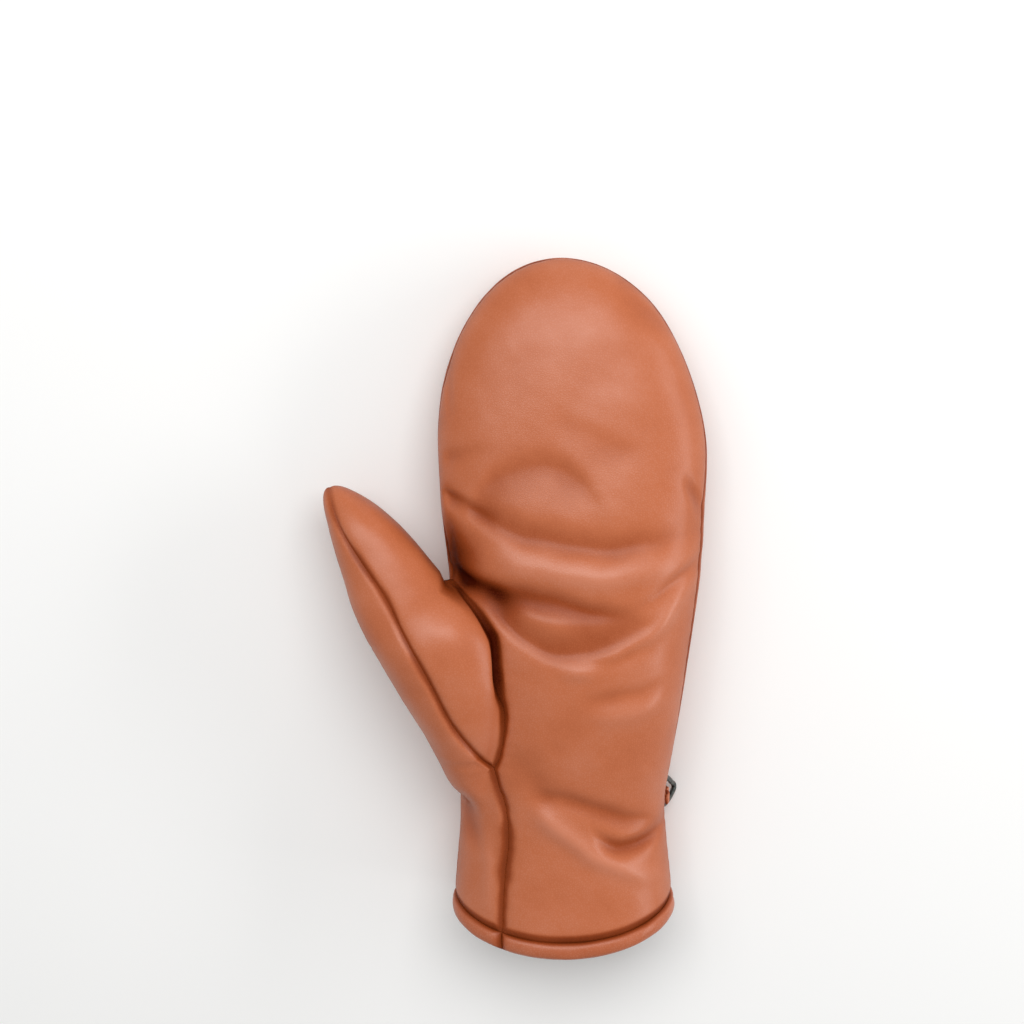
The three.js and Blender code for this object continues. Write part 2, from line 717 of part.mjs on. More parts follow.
// Ring: a triangle of wire with round corners, hung by its long side and leaning out to the floor
const hang = new THREE.Vector3(RING_LOW.x - BAR.x, 0, RING_LOW.y - BAR.y).normalize();
const bar = new THREE.Vector3(BAR.x, RING_Y, BAR.y);
const ringPoint = (side, drop) => bar.clone().addScaledVector(hang, drop).setY(RING_Y + side);
const half = RING_BAR / 2 - RING_WIRE;
const ringPath = new THREE.CatmullRomCurve3(
  [
    ringPoint(0, 0),
    ringPoint(half - 1.6, 0),
    ringPoint(half - 0.4, 0.5),
    ringPoint(half, 1.8),
    ringPoint(half * 0.86, 4.2),
    ringPoint(half * 0.42, RING_DROP * 0.72),
    ringPoint(0.6, RING_DROP * 0.95),
    ringPoint(-0.7, RING_DROP),
    ringPoint(-2.0, RING_DROP * 0.93),
    ringPoint(-half * 0.78, RING_DROP * 0.55),
    ringPoint(-half, 1.8),
    ringPoint(-half + 0.4, 0.5),
    ringPoint(-half + 1.6, 0),
  ],
  true,
);
add("clip_ring", new THREE.TubeGeometry(ringPath, 44, RING_WIRE, 8, true), GUNMETAL);

// Keeper: a strip from the side seam down the mitten's side, round the ring's bar and back up over itself
const besideHand = (degrees, out) => {
  const section = handPlane(RING_Y);
  const on = castPoint(section, (degrees * Math.PI) / 180, 0);
  const away = new THREE.Vector2(on.x - section.origin.x, on.z - section.origin.z).normalize();
  return new THREE.Vector2(on.x, on.z).addScaledVector(away, out);
};
const eye = (degrees) => {
  const radius = RING_WIRE + 0.3 + KEEPER_LEATHER / 2;
  const turn = (degrees * Math.PI) / 180;
  return new THREE.Vector2(BAR.x + radius * Math.cos(turn), BAR.y + radius * Math.sin(turn));
};
const keeperPath = new THREE.SplineCurve([
  besideHand(-3, 0.9),
  besideHand(-12, 0.9),
  besideHand(-21, 1.05),
  eye(150),
  eye(200),
  eye(250),
  eye(300),
  eye(350),
  eye(40),
  besideHand(-19, 2.75),
  besideHand(-11, 2.25),
  besideHand(-3, 2.2),
]).getPoints(33);
const keeperSide = (side) =>
  keeperPath.map((p, i) => {
    const along = keeperPath[Math.min(33, i + 1)].clone().sub(keeperPath[Math.max(0, i - 1)]).normalize();
    return p.clone().add(new THREE.Vector2(-along.y, along.x).multiplyScalar((side * KEEPER_LEATHER) / 2));
  });
const keeperShape = new THREE.Shape([...keeperSide(-1), ...keeperSide(1).reverse()]);
const keeper = add(
  "side_loop",
  new THREE.ExtrudeGeometry(keeperShape, { depth: KEEPER_WIDTH, bevelEnabled: false, steps: 1 }),
  TAN_HEM,
);
keeper.rotation.x = Math.PI / 2;
keeper.position.y = RING_Y + KEEPER_WIDTH / 2;

export default mitten;
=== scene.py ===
import bpy
import numpy as np
from mathutils import Matrix


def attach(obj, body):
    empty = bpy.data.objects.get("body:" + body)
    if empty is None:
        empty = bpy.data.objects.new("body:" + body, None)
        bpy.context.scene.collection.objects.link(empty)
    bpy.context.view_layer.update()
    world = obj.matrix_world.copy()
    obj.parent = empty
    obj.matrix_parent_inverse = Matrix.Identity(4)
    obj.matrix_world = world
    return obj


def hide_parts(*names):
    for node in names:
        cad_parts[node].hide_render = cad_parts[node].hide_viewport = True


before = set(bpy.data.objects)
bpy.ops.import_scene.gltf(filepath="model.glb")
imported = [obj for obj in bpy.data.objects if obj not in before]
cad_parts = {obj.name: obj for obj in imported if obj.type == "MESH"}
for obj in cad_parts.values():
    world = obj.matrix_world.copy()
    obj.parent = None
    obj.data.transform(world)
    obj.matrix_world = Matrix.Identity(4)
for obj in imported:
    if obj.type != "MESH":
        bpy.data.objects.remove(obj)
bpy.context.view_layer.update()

# Camera. The photograph looks down on the palm from about a metre, leaning 12 degrees towards the finger
# tip, with the fingers up the picture. Lengths of the camera and the studio are in metres.
AIM = (-0.0009, 0.03765, 0.025)
DISTANCE = 1.0
LEAN = np.radians(12)
SENSOR_MM, LENS_MM = 36, 91.3


def added(name, data):
    """A new object of the given data, put into the scene."""
    made = bpy.data.objects.new(name, data)
    bpy.context.collection.objects.link(made)
    return made


def stood(right, up, out, at):
    """Matrix that stands an object at a place, with its own axes turned to right, up and out."""
    return Matrix([[right[i], up[i], out[i], at[i]] for i in range(3)] + [[0, 0, 0, 1]])


lens = bpy.data.cameras.new("camera")
lens.sensor_width, lens.lens = SENSOR_MM, LENS_MM
camera = added("camera", lens)
away = np.array([0, np.sin(LEAN), np.cos(LEAN)])
upward = np.array([0, np.cos(LEAN), -np.sin(LEAN)])
camera.matrix_world = stood([1, 0, 0], upward, away, np.array(AIM) + DISTANCE * away)
bpy.context.scene.camera = camera


# Studio: a plain pale floor, one broad soft box beyond the finger tip, a weaker one over the thumb and one
# low beside the little finger, in a pale room that fills the shadows.
FLOOR_SIDE, FLOOR_LEVEL = 4.0, -0.0002
FLOOR_PALE, FLOOR_ROUGHNESS = (0.92, 0.92, 0.91, 1), 0.9
ROOM_LIGHT = 0.42
LIGHT_AIM = np.array([0.0, 0.0, 0.02])
LIGHTS = [
    # name, place, width, height, watts
    ("soft_box", (0.08, 0.60, 1.02), 1.1, 0.7, 9.1),
    ("thumb_box", (-0.55, 0.45, 1.00), 0.5, 0.5, 1.5),
    ("side_box", (0.98, 0.05, 0.44), 0.2, 0.9, 3.6),
]


def material(name):
    """A new node material, its node tree and its main shader."""
    made = bpy.data.materials.new(name)
    made.use_nodes = True
    return made, made.node_tree, made.node_tree.nodes["Principled BSDF"]


corners = np.array([[-1, -1], [1, -1], [1, 1], [-1, 1]]) * FLOOR_SIDE / 2
floor_mesh = bpy.data.meshes.new("floor")
floor_mesh.from_pydata([(x, y, FLOOR_LEVEL) for x, y in corners], [], [(0, 1, 2, 3)])
floor_paint, _, floor_shader = material("pale_floor")
floor_shader.inputs["Roughness"].default_value = FLOOR_ROUGHNESS
floor_shader.inputs["Base Color"].default_value = FLOOR_PALE
floor_mesh.materials.append(floor_paint)
floor = added("floor", floor_mesh)

for name, at, width, height, watts in LIGHTS:
    lamp = bpy.data.lights.new(name, "AREA")
    lamp.shape = "RECTANGLE"
    lamp.size, lamp.size_y, lamp.energy = width, height, watts
    out = np.array(at) - LIGHT_AIM
    out /= np.linalg.norm(out)
    side = np.cross([0, 1, 0.001], out)
    side /= np.linalg.norm(side)
    added(name, lamp).matrix_world = stood(side, np.cross(out, side), out, at)

room = bpy.data.worlds.new("room")
room.use_nodes = True
backdrop = room.node_tree.nodes["Background"]
backdrop.inputs["Color"].default_value = (1, 1, 1, 1)
backdrop.inputs["Strength"].default_value = ROOM_LIGHT
bpy.context.scene.world = room
bpy.context.scene.view_settings.view_transform = "Standard"


# Palm panel. One sheet of smooth cognac leather over padding, from the cuff to the finger tip, sewn to the
# back panel round the edge of the hand and to the thumb panel along the ball of the thumb. The hand in it
# has bent the leather into folds that run from the crotch of the thumb across the palm.
LEATHER = 2.2  # wall of shell leather and its padding, in millimetres, as are all sizes of the mitten
SEAM_GAP = 0.2  # between two panels at a seam
OVAL_POWER = 2.2  # of the sections: 2 would be an ellipse, and more is squarer
FOOTPRINT = np.array([-0.4, -0.65, 0.0])  # middle of the footprint, where the frame has its origin
FINGER_TIP = 134.0  # y, as are the next five
HAND_DOME = 59.0
TIP_ROUND = 102.0
RIM = -127.0
THUMB_SEAM_FOOT = -60.6
CROTCH = 10.4
WEB_LOW, WEB_HIGH = 13.0, 3.5  # how widely hand and thumb blend, near the floor and high up
FLOOR_ROUND = 2.0  # of the edge between the flat resting area and the flanks
# Groove depth and width of the side seam, and the width of its painted shade and stain.
SIDE_GROOVE, SIDE_GROOVE_WIDTH, SIDE_SHADE_AND_STAIN_WIDTH = 0.9, 1.9, 1.6
CUFF_GROOVE = 1.7
HEM_TOP, HEM_DIP = 6.6, 1.65  # its top edge above the rim, and the leather's step in there
NO_HEM = 1e3  # a height far above the hem
HOLLOW_SHADE_X, HOLLOW_SHADE_Y = -21, 23  # middle of the painted shade in the hollow beside the crotch

HAND = np.array([
    # y, centre x, half width, centre z, half height
    [-142, 19.2, 43.6, 25.4, 28.6],
    [-126, 19.2, 43.4, 25.0, 28.4],
    [-112, 19.1, 42.6, 24.0, 27.4],
    [-92, 18.9, 40.8, 22.8, 26.2],
    [-76, 18.8, 40.3, 22.8, 26.0],
    [-60, 20.2, 41.4, 23.8, 27.0],
    [-40, 21.4, 43.2, 24.8, 28.4],
    [-20, 22.2, 45.2, 25.2, 28.9],
    [0, 22.6, 47.5, 24.8, 28.4],
    [20, 22.6, 49.5, 23.6, 27.0],
    [40, 22.1, 51.0, 22.0, 25.2],
    [60, 21.8, 51.9, 20.4, 23.2],
    [80, 20.7, 51.6, 19.0, 21.4],
    [100, 19.6, 51.5, 17.6, 19.2],
    [117, 19.0, 52.2, 16.6, 17.4],
    [134, 17.6, 52.4, 15.8, 15.8],
])

THUMB_TIP = np.array([-72.6, 46.0])
THUMB_FOOT = np.array([-13.8, -64.5])
THUMB_DOME = 40.0
THUMB_ROUND = 24.0
THUMB = np.array([
    # s from the tip, centre n, half width, centre z, half height
    [0, 0.6, 12.0, 22.0, 11.0],
    [8, 2.2, 12.4, 23.2, 11.8],
    [15, 3.4, 13.2, 24.4, 12.6],
    [22, 4.2, 14.2, 25.8, 13.2],
    [35, 5.0, 16.0, 29.0, 14.4],
    [47, 5.6, 18.3, 33.2, 16.2],
    [56, 7.0, 19.8, 37.0, 17.6],
    [65, 9.3, 21.3, 39.4, 18.6],
    [74, 10.6, 22.3, 39.8, 19.0],
    [83, 10.3, 22.0, 39.2, 18.9],
    [98, 8.0, 19.2, 37.2, 18.4],
    [113, 3.4, 15.4, 34.0, 16.8],
    [125, -2.0, 10.4, 30.8, 14.2],
    [140, -3.0, 6.4, 28.0, 11.0],
    [165, 0.0, 3.0, 25.0, 6.0],
])
THUMB_ALONG = (THUMB_FOOT - THUMB_TIP) / np.linalg.norm(THUMB_FOOT - THUMB_TIP)
THUMB_ACROSS = np.array([-THUMB_ALONG[1], THUMB_ALONG[0]])

FOLDS = np.array([
    # x0, y0, x1, y1, sag, depth at the start, depth at the end, width above, width below
    [-28, 12.5, 50, -3, 2.4, 3.8, 2.4, 5.0, 7.5],
    [-30, 15, 4, 6, 0.5, 2.6, 0.4, 2.6, 3.6],
    [-9, 4, 49, -3, -12.5, 2.3, 2.1, 8.0, 3.6],
    [0, 4, 44, -1, -2, -0.9, -0.8, 3.2, 4.0],
    [-28, 45.5, -9, 38.5, -0.5, 2.8, 1.4, 2.6, 3.6],
    [-14, 39, 67, 32, -7.5, 2.3, 2.1, 6.5, 4.5],
    [-14, 46, 31, 44, 13, 1.7, 1.7, 5.5, 10.0],
    [-30, 58, -12, 64, 0.5, 1.6, 0.5, 2.4, 4.0],
    [-31, 33, -27, 13, 0, 3.6, 3.6, 10.0, 10.0],
    [15, 75, 45, 63, -1, 0.4, 0.7, 4.5, 8.0],
    [40, 124, 57, 108, -1, 0.5, 1.3, 3.0, 5.0],
    [-27, 104, -25, 76, 0, 0.7, 0.7, 2.4, 1.6],
    [66, 51, 70, 39, 0, 1.5, 1.5, 2.0, 2.0],
    [45, 4, 69, 20, -1, 0.5, 1.7, 2.2, 3.4],
    [26, -16.5, 50, -10, -1.5, 1.4, 2.0, 2.6, 3.4],
    [28, -31, 54, -26, -1, 0.8, 1.0, 2.8, 4.0],
    [-2, -54, 13, -69, 0, 0.9, 0.9, 6.0, 6.0],
    [8, -69, 52, -84, 0.8, 1.4, 2.5, 3.6, 4.5],
    [33, -88, 56, -88, -4.5, 2.8, 2.8, 3.6, 3.4],
    [-21, -74, -14, -93, 0, 1.7, 1.5, 4.0, 4.0],
    [-11, -88, -11.5, -116, 0, -0.8, -0.8, 2.4, 2.4],
    [-6, 24, 66, 21, -5, -1.0, -1.9, 5.0, 5.0],
    [20, -20, 67, 12, -6, -1.1, -1.3, 3.4, 3.4],
    [31, -37, 56, -34, -1, -0.7, -0.9, 4.0, 4.0],
    [9, -78, 54, -106, -2, -1.5, -1.7, 3.6, 4.0],
])

PALM_SEAM = np.array([
    # y, x, groove depth
    [-60.6, -8.6, 1.8],
    [-55.8, -6.7, 1.8],
    [-45.7, -4.8, 2.0],
    [-36.5, -4.5, 2.4],
    [-29.0, -5.9, 2.9],
    [-23.0, -6.7, 3.3],
    [-8.4, -8.0, 3.4],
    [-1.3, -11.6, 2.9],
    [4.0, -16.1, 2.0],
    [8.0, -21.3, 0.9],
    [10.4, -25.2, 0.3],
])
CUFF_SEAM = np.array([
    # y, x
    [-142, -6.0],
    [-127, -5.6],
    [-112, -5.4],
    [-98, -4.4],
    [-88, -3.2],
    [-76, -4.2],
    [-66, -7.6],
    [-60.6, -8.6],
])
SIDE_SEAM = np.array([
    # y, angle above the side in degrees
    [-142, 0],
    [-80, 0],
    [-60, 6],
    [-20, 13],
    [30, 13],
    [80, 5],
    [134, 0],
])


def through(table, column, at):
    """Smooth curve through one column of a table: on each span a cubic, whose slope at a row is the slope
    between the rows before and after it."""
    place, value = table[:, 0], table[:, column]
    last = len(place) - 1
    before, after = np.maximum(np.arange(last + 1) - 1, 0), np.minimum(np.arange(last + 1) + 1, last)
    slope = (value[after] - value[before]) / (place[after] - place[before])
    at = np.clip(at, place[0], place[-1])
    i = np.clip(np.searchsorted(place, at, side="right") - 1, 0, last - 1)
    span = place[i + 1] - place[i]
    u = (at - place[i]) / span
    v = 1 - u
    ends = v * v * (1 + 2 * u) * value[i] + u * u * (1 + 2 * v) * value[i + 1]
    return ends + span * u * v * (v * slope[i] - u * slope[i + 1])


def smoothstep(low, high, at):
    """0 up to low, 1 from high on, and the cubic 3u2 - 2u3 between. low may be the larger of the two."""
    u = np.clip((at - low) / (high - low), 0, 1)
    return u * u * (3 - 2 * u)


def dome(at, start, end):
    """Quarter ellipse from 1 at start to 0 at end."""
    return np.sqrt(1 - np.clip((at - start) / (end - start), 0, 1) ** 2)


def soft_min(a, b, blend):
    """The lower of two values, with a parabola over the last blend between them."""
    h = np.maximum(0, blend - np.abs(a - b)) / blend
    return np.minimum(a, b) - h * h * blend / 4


def oval(across, up, half_width, half_height):
    """Distance along the radius from the oval |a/w|^p + |u/h|^p = 1, below zero inside it."""
    w, h = np.maximum(half_width, 0.1), np.maximum(half_height, 0.1)
    ratio = (np.abs(across / w) ** OVAL_POWER + np.abs(up / h) ** OVAL_POWER) ** (1 / OVAL_POWER)
    return np.hypot(across, up) * (1 - 1 / np.maximum(ratio, 1e-6))


def hand_half(y):
    """Half width and half height of the hand at y, rounded off to nothing at the finger tip."""
    wide, high = dome(y, HAND_DOME, FINGER_TIP), dome(y, TIP_ROUND, FINGER_TIP)
    return through(HAND, 2, y) * wide, through(HAND, 4, y) * high


def thumb_half(s):
    """Half width and half height of the thumb at s from its tip, rounded off to nothing at the tip."""
    wide, high = dome(-s, -THUMB_DOME, 0), dome(-s, -THUMB_ROUND, 0)
    return through(THUMB, 2, s) * wide, through(THUMB, 4, s) * high


def fold_depth(x, y):
    """Sum of the folds at a plan point: each is a bell across an arc, of its own width on either side, that
    wanders a little from the arc and fades out past its two ends. None crosses the seam onto the thumb."""
    depth = np.zeros_like(x)
    for x0, y0, x1, y1, sag, first, second, above, below in FOLDS:
        length = np.hypot(x1 - x0, y1 - y0)
        ax, ay = (x1 - x0) / length, (y1 - y0) / length
        t = ((x - x0) * ax + (y - y0) * ay) / length
        off = (y - y0) * ax - (x - x0) * ay - 4 * sag * t * (1 - t)
        off = off + 0.45 * np.sin(length * t / 5.3 + x0) + 0.15 * np.sin(length * t / 2.6 + y0)
        width = np.where(off > 0, above, below)
        ends = smoothstep(-6, 6, length * t)
        ends = ends * (1 - smoothstep(0.72 * length - 2, 1.1 * length + 4, length * t))
        depth += (first + (second - first) * np.clip(t, 0, 1)) * ends * np.exp(-((off / width) ** 2))
    edge = through(PALM_SEAM, 1, y) - 60 * smoothstep(-48, -64, y)
    return depth * smoothstep(-4, 1, x - edge)


def front_share(y, z):
    """0 on the back of the hand and 1 on the palm side, where the folds are."""
    return smoothstep(-4, 8, z - through(HAND, 3, y))


def leather_field(p):
    """Below zero inside the mitten: the ovals of hand and thumb blended, the folds added to the palm
    side, and the whole flattened where it lies on the floor."""
    x, y, z = p[..., 0], p[..., 1], p[..., 2]
    hand = oval(x - through(HAND, 1, y), z - through(HAND, 3, y), *hand_half(y))
    dx, dy = x - THUMB_TIP[0], y - THUMB_TIP[1]
    s = dx * THUMB_ALONG[0] + dy * THUMB_ALONG[1]
    n = dx * THUMB_ACROSS[0] + dy * THUMB_ACROSS[1] - through(THUMB, 1, s)
    thumb = oval(n, z - through(THUMB, 3, s), *thumb_half(s))
    thumb += np.maximum(0, np.maximum(s - THUMB[-1, 0], -s))
    soft = soft_min(hand, thumb, WEB_LOW + (WEB_HIGH - WEB_LOW) * smoothstep(6, 24, z))
    folded = soft + front_share(y, z) * fold_depth(x, y)
    return -soft_min(-folded, z, FLOOR_ROUND)


def reach(start, direction):
    """Distance from points inside to the outer surface: strides that shorten as the field nears zero, until
    outside, and then the last stride halved."""
    shape = start.shape[:-1]
    start, direction = start.reshape(-1, 3), direction.reshape(-1, 3)
    near = np.zeros(len(start))
    far = np.full(len(start), 1.0)
    going = np.arange(len(start))
    for _ in range(200):
        field = leather_field(start[going] + far[going, None] * direction[going])
        inside = field < 0
        going, field = going[inside], field[inside]
        if not len(going):
            break
        near[going] = far[going]
        far[going] += np.clip(-0.6 * field, 0.35, 5)
    for _ in range(12):
        middle = (near + far) / 2
        inside = leather_field(start + middle[:, None] * direction) < 0
        near, far = np.where(inside, middle, near), np.where(inside, far, middle)
    return far.reshape(shape)


def level_planes(x, y, z, across, half_width, half_height):
    """Section planes, one a row: an origin, a level axis across, a level axis along and the two half
    sizes."""
    across = across / np.linalg.norm(across, axis=-1, keepdims=True)
    along = np.stack([-across[..., 1], across[..., 0], 0 * across[..., 0]], -1)
    return {
        "origin": np.stack([x, y, z], -1),
        "across": across,
        "along": along,
        "half_width": np.maximum(1, half_width),
        "half_height": np.maximum(1, half_height),
    }


def hand_planes(y):
    """Section planes straight across the hand, one at each y."""
    across = np.array([1.0, 0, 0]) + 0 * y[..., None]
    x, z = through(HAND, 1, y), through(HAND, 3, y)
    return level_planes(x, y, z, across, *hand_half(y))


def rows_of(planes, rows):
    """Some of the rows of a set of planes."""
    return {k: v[rows] for k, v in planes.items()}


def cast(planes, angle, offset):
    """Surface point in each plane at an angle round it, squeezed as the oval is, and at an offset along
    it."""
    turn = planes["across"] * (np.cos(angle) * planes["half_width"])[..., None]
    turn = turn + np.array([0, 0, 1.0]) * (np.sin(angle) * planes["half_height"])[..., None]
    turn /= np.linalg.norm(turn, axis=-1, keepdims=True)
    start = planes["origin"] + planes["along"] * offset[..., None]
    p = start + turn * reach(start, turn)[..., None]
    p[..., 2] = np.where(np.abs(p[..., 2]) < 0.01, 0, p[..., 2])
    return p


def spread(planes, count):
    """The same planes again for each of count columns."""
    return {k: np.repeat(v[:, None], count, 1) for k, v in planes.items()}


def rim_y(angle):
    """Edge of the cuff: its y at an angle round the opening, longest at the middle of the palm."""
    return -123.5 + 0.3 * np.cos(angle) - 3.9 * np.sin(angle) - 7.4 * np.sin(angle) ** 2


def angle_at(planes, share, x):
    """Angle over the palm at which each plane's surface reaches x, found by halving."""
    low, high = np.full(len(x), np.pi / 2), np.full(len(x), np.pi * 0.995)
    for _ in range(24):
        middle = (low + high) / 2
        right = cast(planes, middle, share * (rim_y(middle) - RIM))[:, 0] > x
        low, high = np.where(right, middle, low), np.where(right, high, middle)
    return low


SEAM_STEPS = np.array([0, 0.2, 0.45, 0.75, 1.1, 1.5, 2.0, 2.6, 3.3, 4.2])


def strip(planes, share, first, second, way, columns):
    """Grid of surface points from one seam to another, one row in each plane: steps equal in length, but
    close beside the seams. Also each point's distance from either seam. way is 1 over the palm and -1
    round the back. A row with rays that slip through the narrow neck at the crotch is laid midway between
    its neighbours."""

    def polar(p):
        """Angle round its plane and offset along it, for a point in each plane."""
        d = p - planes["origin"]
        wide = (d * planes["across"]).sum(-1) / planes["half_width"]
        return np.arctan2(d[:, 2] / planes["half_height"], wide), (d * planes["along"]).sum(-1)

    (a0, o0), (a1, o1) = polar(first), polar(second)
    a1 = a1 + 2 * np.pi * way * ((a1 - a0) * way < 0)
    o0, o1 = o0 - share * (rim_y(a0) - RIM), o1 - share * (rim_y(a1) - RIM)

    def along(t):
        """Surface points at shares t of the way from the first seam's angle to the second's."""
        angle = a0[:, None] + (a1 - a0)[:, None] * t
        offset = share[:, None] * (rim_y(angle) - RIM) + o0[:, None] + (o1 - o0)[:, None] * t
        return cast(spread(planes, t.shape[1]), angle, offset)

    t = np.repeat(np.linspace(0, 1, 61)[None], len(a0), 0)
    steps = np.diff(along(t), axis=1, prepend=along(t[:, :1]))
    length = np.cumsum(np.linalg.norm(steps, axis=-1), 1)
    total = length[:, -1:]
    edge = np.minimum(1, total / 24) * SEAM_STEPS
    middle = np.linspace(0, 1, columns - 2 * len(SEAM_STEPS) + 2)[1:-1]
    inside = edge[:, -1:] + (total - 2 * edge[:, -1:]) * middle
    wanted = np.concatenate([edge, inside, total - edge[:, ::-1]], 1)
    t = np.stack([np.interp(w, l, u) for w, l, u in zip(wanted, length, t)])
    p = along(t)
    p[:, 0], p[:, -1] = first, second
    for _ in range(6):
        between = (p[:-2] + p[2:]) / 2
        stray = np.linalg.norm(p[1:-1] - between, axis=-1).max(1)
        i = stray.argmax() + 1
        if stray[i - 1] < 2.5:
            break
        p[i, 1:-1] = between[i - 1, 1:-1]
        wanted[i], total[i] = (wanted[i - 1] + wanted[i + 1]) / 2, (total[i - 1] + total[i + 1]) / 2
    return p, wanted, total - wanted


def outward(p):
    """Unit normal of the smooth surface: the field's slope, from steps of half a millimetre either way."""
    step = 0.5 * np.eye(3)
    slope = np.stack([leather_field(p + step[i]) - leather_field(p - step[i]) for i in range(3)], -1)
    return slope / np.maximum(np.linalg.norm(slope, axis=-1, keepdims=True), 1e-9)


def roll(distance, depth, width):
    """How far the leather turns in at a seam: a quarter ellipse within width, added to a soft bell."""
    turned = 1 - np.sqrt(1 - np.clip(1 - distance / width, 0, 1) ** 2)
    return depth * (0.4 * turned + 0.6 * np.exp(-((distance / (0.62 * width)) ** 2)))


def waves(p, seed, count, shortest, longest):
    """Soft random relief between about -1 and 1: a sum of plane waves in random directions."""
    chance = np.random.default_rng(seed)
    axes = chance.normal(size=(count, 3))
    axes /= np.linalg.norm(axes, axis=1, keepdims=True)
    length = np.exp(chance.uniform(np.log(shortest), np.log(longest), count))
    phase = p @ (2 * np.pi * axes / length[:, None]).T + chance.uniform(0, 2 * np.pi, count)
    return np.sin(phase).sum(-1) * np.sqrt(2 / count) / 2


def relief(p):
    """Uneven filling under the leather, in millimetres: long low swells with small ones over them."""
    return 0.18 * waves(p, 3, 26, 18, 60) + 0.05 * waves(p, 8, 40, 6, 15)


def seam_shade_and_stain(distance, depth, line, width):
    """Painted shade of a sewn groove, with the dark finish gathered there: a flat-topped band of uneven
    width along the seam line, darker where the groove is deeper."""
    uneven = width * (1 + 0.3 * waves(line, 5, 20, 7, 30)[:, None])
    return (0.3 + 0.2 * depth + 0.035 * depth**2) * np.exp(-((distance / uneven) ** 3)) * (depth > 0)


def pucker(line, distance, spacing, amount, fade):
    """Small gathers beside a sewn seam: a wave along the seam line that fades away from it."""
    run = np.cumsum(np.linalg.norm(np.diff(line, axis=0, prepend=line[:1]), axis=-1))
    beat = 2 * np.pi * run / spacing
    wave = np.sin(beat + 0.9 * np.sin(beat * 0.137) + 0.7 * np.sin(beat * 0.291))
    return amount * wave[:, None] * np.exp(-distance / fade)


def beyond_foot(y):
    """0 on the thumb seam and 1 on the cuff seam, from one to the other within 8 mm of the wrist."""
    return smoothstep(THUMB_SEAM_FOOT + 8, THUMB_SEAM_FOOT - 8, y)[:, None]


def sewn(height, *seams):
    """Depth and painted shade and stain of a grid at its seams: the deepest roll and the darkest of them
    all.
    Each seam is given as its line, each point's distance from it, groove depth, groove width and shade
    width.
    Below the hem's top edge the leather steps in, and the groove above that edge has painted shade."""
    below = np.clip(1 - (height - HEM_TOP) / 4.4, 0, 1)
    sink = HEM_DIP * (1 - np.sqrt(1 - below**2))[:, None]
    # Painted shade in the groove above the hem's top edge.
    groove_shade_and_stain = 0.85 * np.exp(-(((height - HEM_TOP - 1) / 2.2) ** 4))[:, None]
    for line, distance, depth, width, dark in seams:
        sink = np.maximum(sink, roll(distance, depth, width))
        groove_shade_and_stain = np.maximum(groove_shade_and_stain, seam_shade_and_stain(distance, depth, line, dark))
    return sink, groove_shade_and_stain


# Rows of the hand: those of the cuff, then of the fork beside the thumb, the fingers and the finger end
FORK_ROWS, FINGER_ROWS, DOME_ROWS = 76, 44, 64
PALM_COLUMNS = 150
cuff_y = RIM + np.concatenate([
    [1.6, 3.2, 4.8, 6.2],
    np.linspace(7.0, 10.6, 13),
    np.linspace(11.5, THUMB_SEAM_FOOT - RIM, 58),
])
hand_y = np.concatenate([
    cuff_y,
    np.linspace(THUMB_SEAM_FOOT, CROTCH, FORK_ROWS + 1)[1:],
    np.linspace(CROTCH, HAND_DOME, FINGER_ROWS + 1)[1:],
    HAND_DOME + (FINGER_TIP - HAND_DOME) * np.sin(np.linspace(0, np.pi / 2, DOME_ROWS + 1)[1:]),
])
foot, crotch, tip = len(cuff_y) - 1, len(cuff_y) - 1 + FORK_ROWS, len(hand_y) - 1
cuff, fork, lower = slice(0, foot + 1), slice(foot + 1, crotch + 1), slice(0, crotch + 1)
on_cuff = np.arange(len(hand_y)) <= foot
rim_height = np.where(on_cuff, hand_y - RIM, NO_HEM)
rim_share = np.where(on_cuff, 1 - smoothstep(10, 60, hand_y - RIM), 0)
hand_rows = hand_planes(hand_y)
finger_tip = np.array([through(HAND, 1, FINGER_TIP), FINGER_TIP, through(HAND, 3, FINGER_TIP)])


def on_hand(rows, angle):
    """Surface points of the hand's rows at an angle."""
    return cast(rows_of(hand_rows, rows), angle, rim_share[rows] * (rim_y(angle) - RIM))


side_seam = on_hand(slice(None), np.radians(through(SIDE_SEAM, 1, hand_y)))
palm_x = np.where(hand_y < THUMB_SEAM_FOOT, through(CUFF_SEAM, 1, hand_y), through(PALM_SEAM, 1, hand_y))
palm_angle = angle_at(rows_of(hand_rows, lower), rim_share[lower], palm_x[lower])
level = np.radians(178)
side_turn = smoothstep(0, 16, hand_y[crotch + 1 :] - CROTCH)
side_turn = level + (palm_angle[-1] - level) * (1 - side_turn)
thumb_side_seam = on_hand(slice(None), np.concatenate([palm_angle, side_turn]))
side_seam[tip] = thumb_side_seam[tip] = finger_tip
above_crotch = 0.3 + 0.5 * smoothstep(0, 12, hand_y - CROTCH)
groove = np.where(hand_y <= CROTCH, through(PALM_SEAM, 2, hand_y), above_crotch)
groove = np.where(on_cuff, CUFF_GROOVE, groove)[:, None]
groove_width = 3.2 + 1.2 * beyond_foot(hand_y)
# Width of the painted shade and stain along the thumb-side seam.
groove_shade_and_stain_width = groove_width - 1.8 + 0.5 * smoothstep(2.2, 3.4, groove)

palm_skin, from_side, from_thumb = strip(
    hand_rows, rim_share, side_seam, thumb_side_seam, 1, PALM_COLUMNS
)
palm_skin[tip] = finger_tip
palm_sink, palm_shade_and_stain = sewn(
    rim_height,
    (side_seam, from_side, SIDE_GROOVE, SIDE_GROOVE_WIDTH, SIDE_SHADE_AND_STAIN_WIDTH),
    (thumb_side_seam, from_thumb, groove, groove_width, groove_shade_and_stain_width),
)
palm_sink -= pucker(side_seam, from_side, 5.2, 0.10, 3.0)
palm_sink -= pucker(thumb_side_seam, from_thumb, 5.6, 0.12, 3.5)
palm_sink -= relief(palm_skin) * smoothstep(0, 6, np.minimum(from_side, from_thumb))


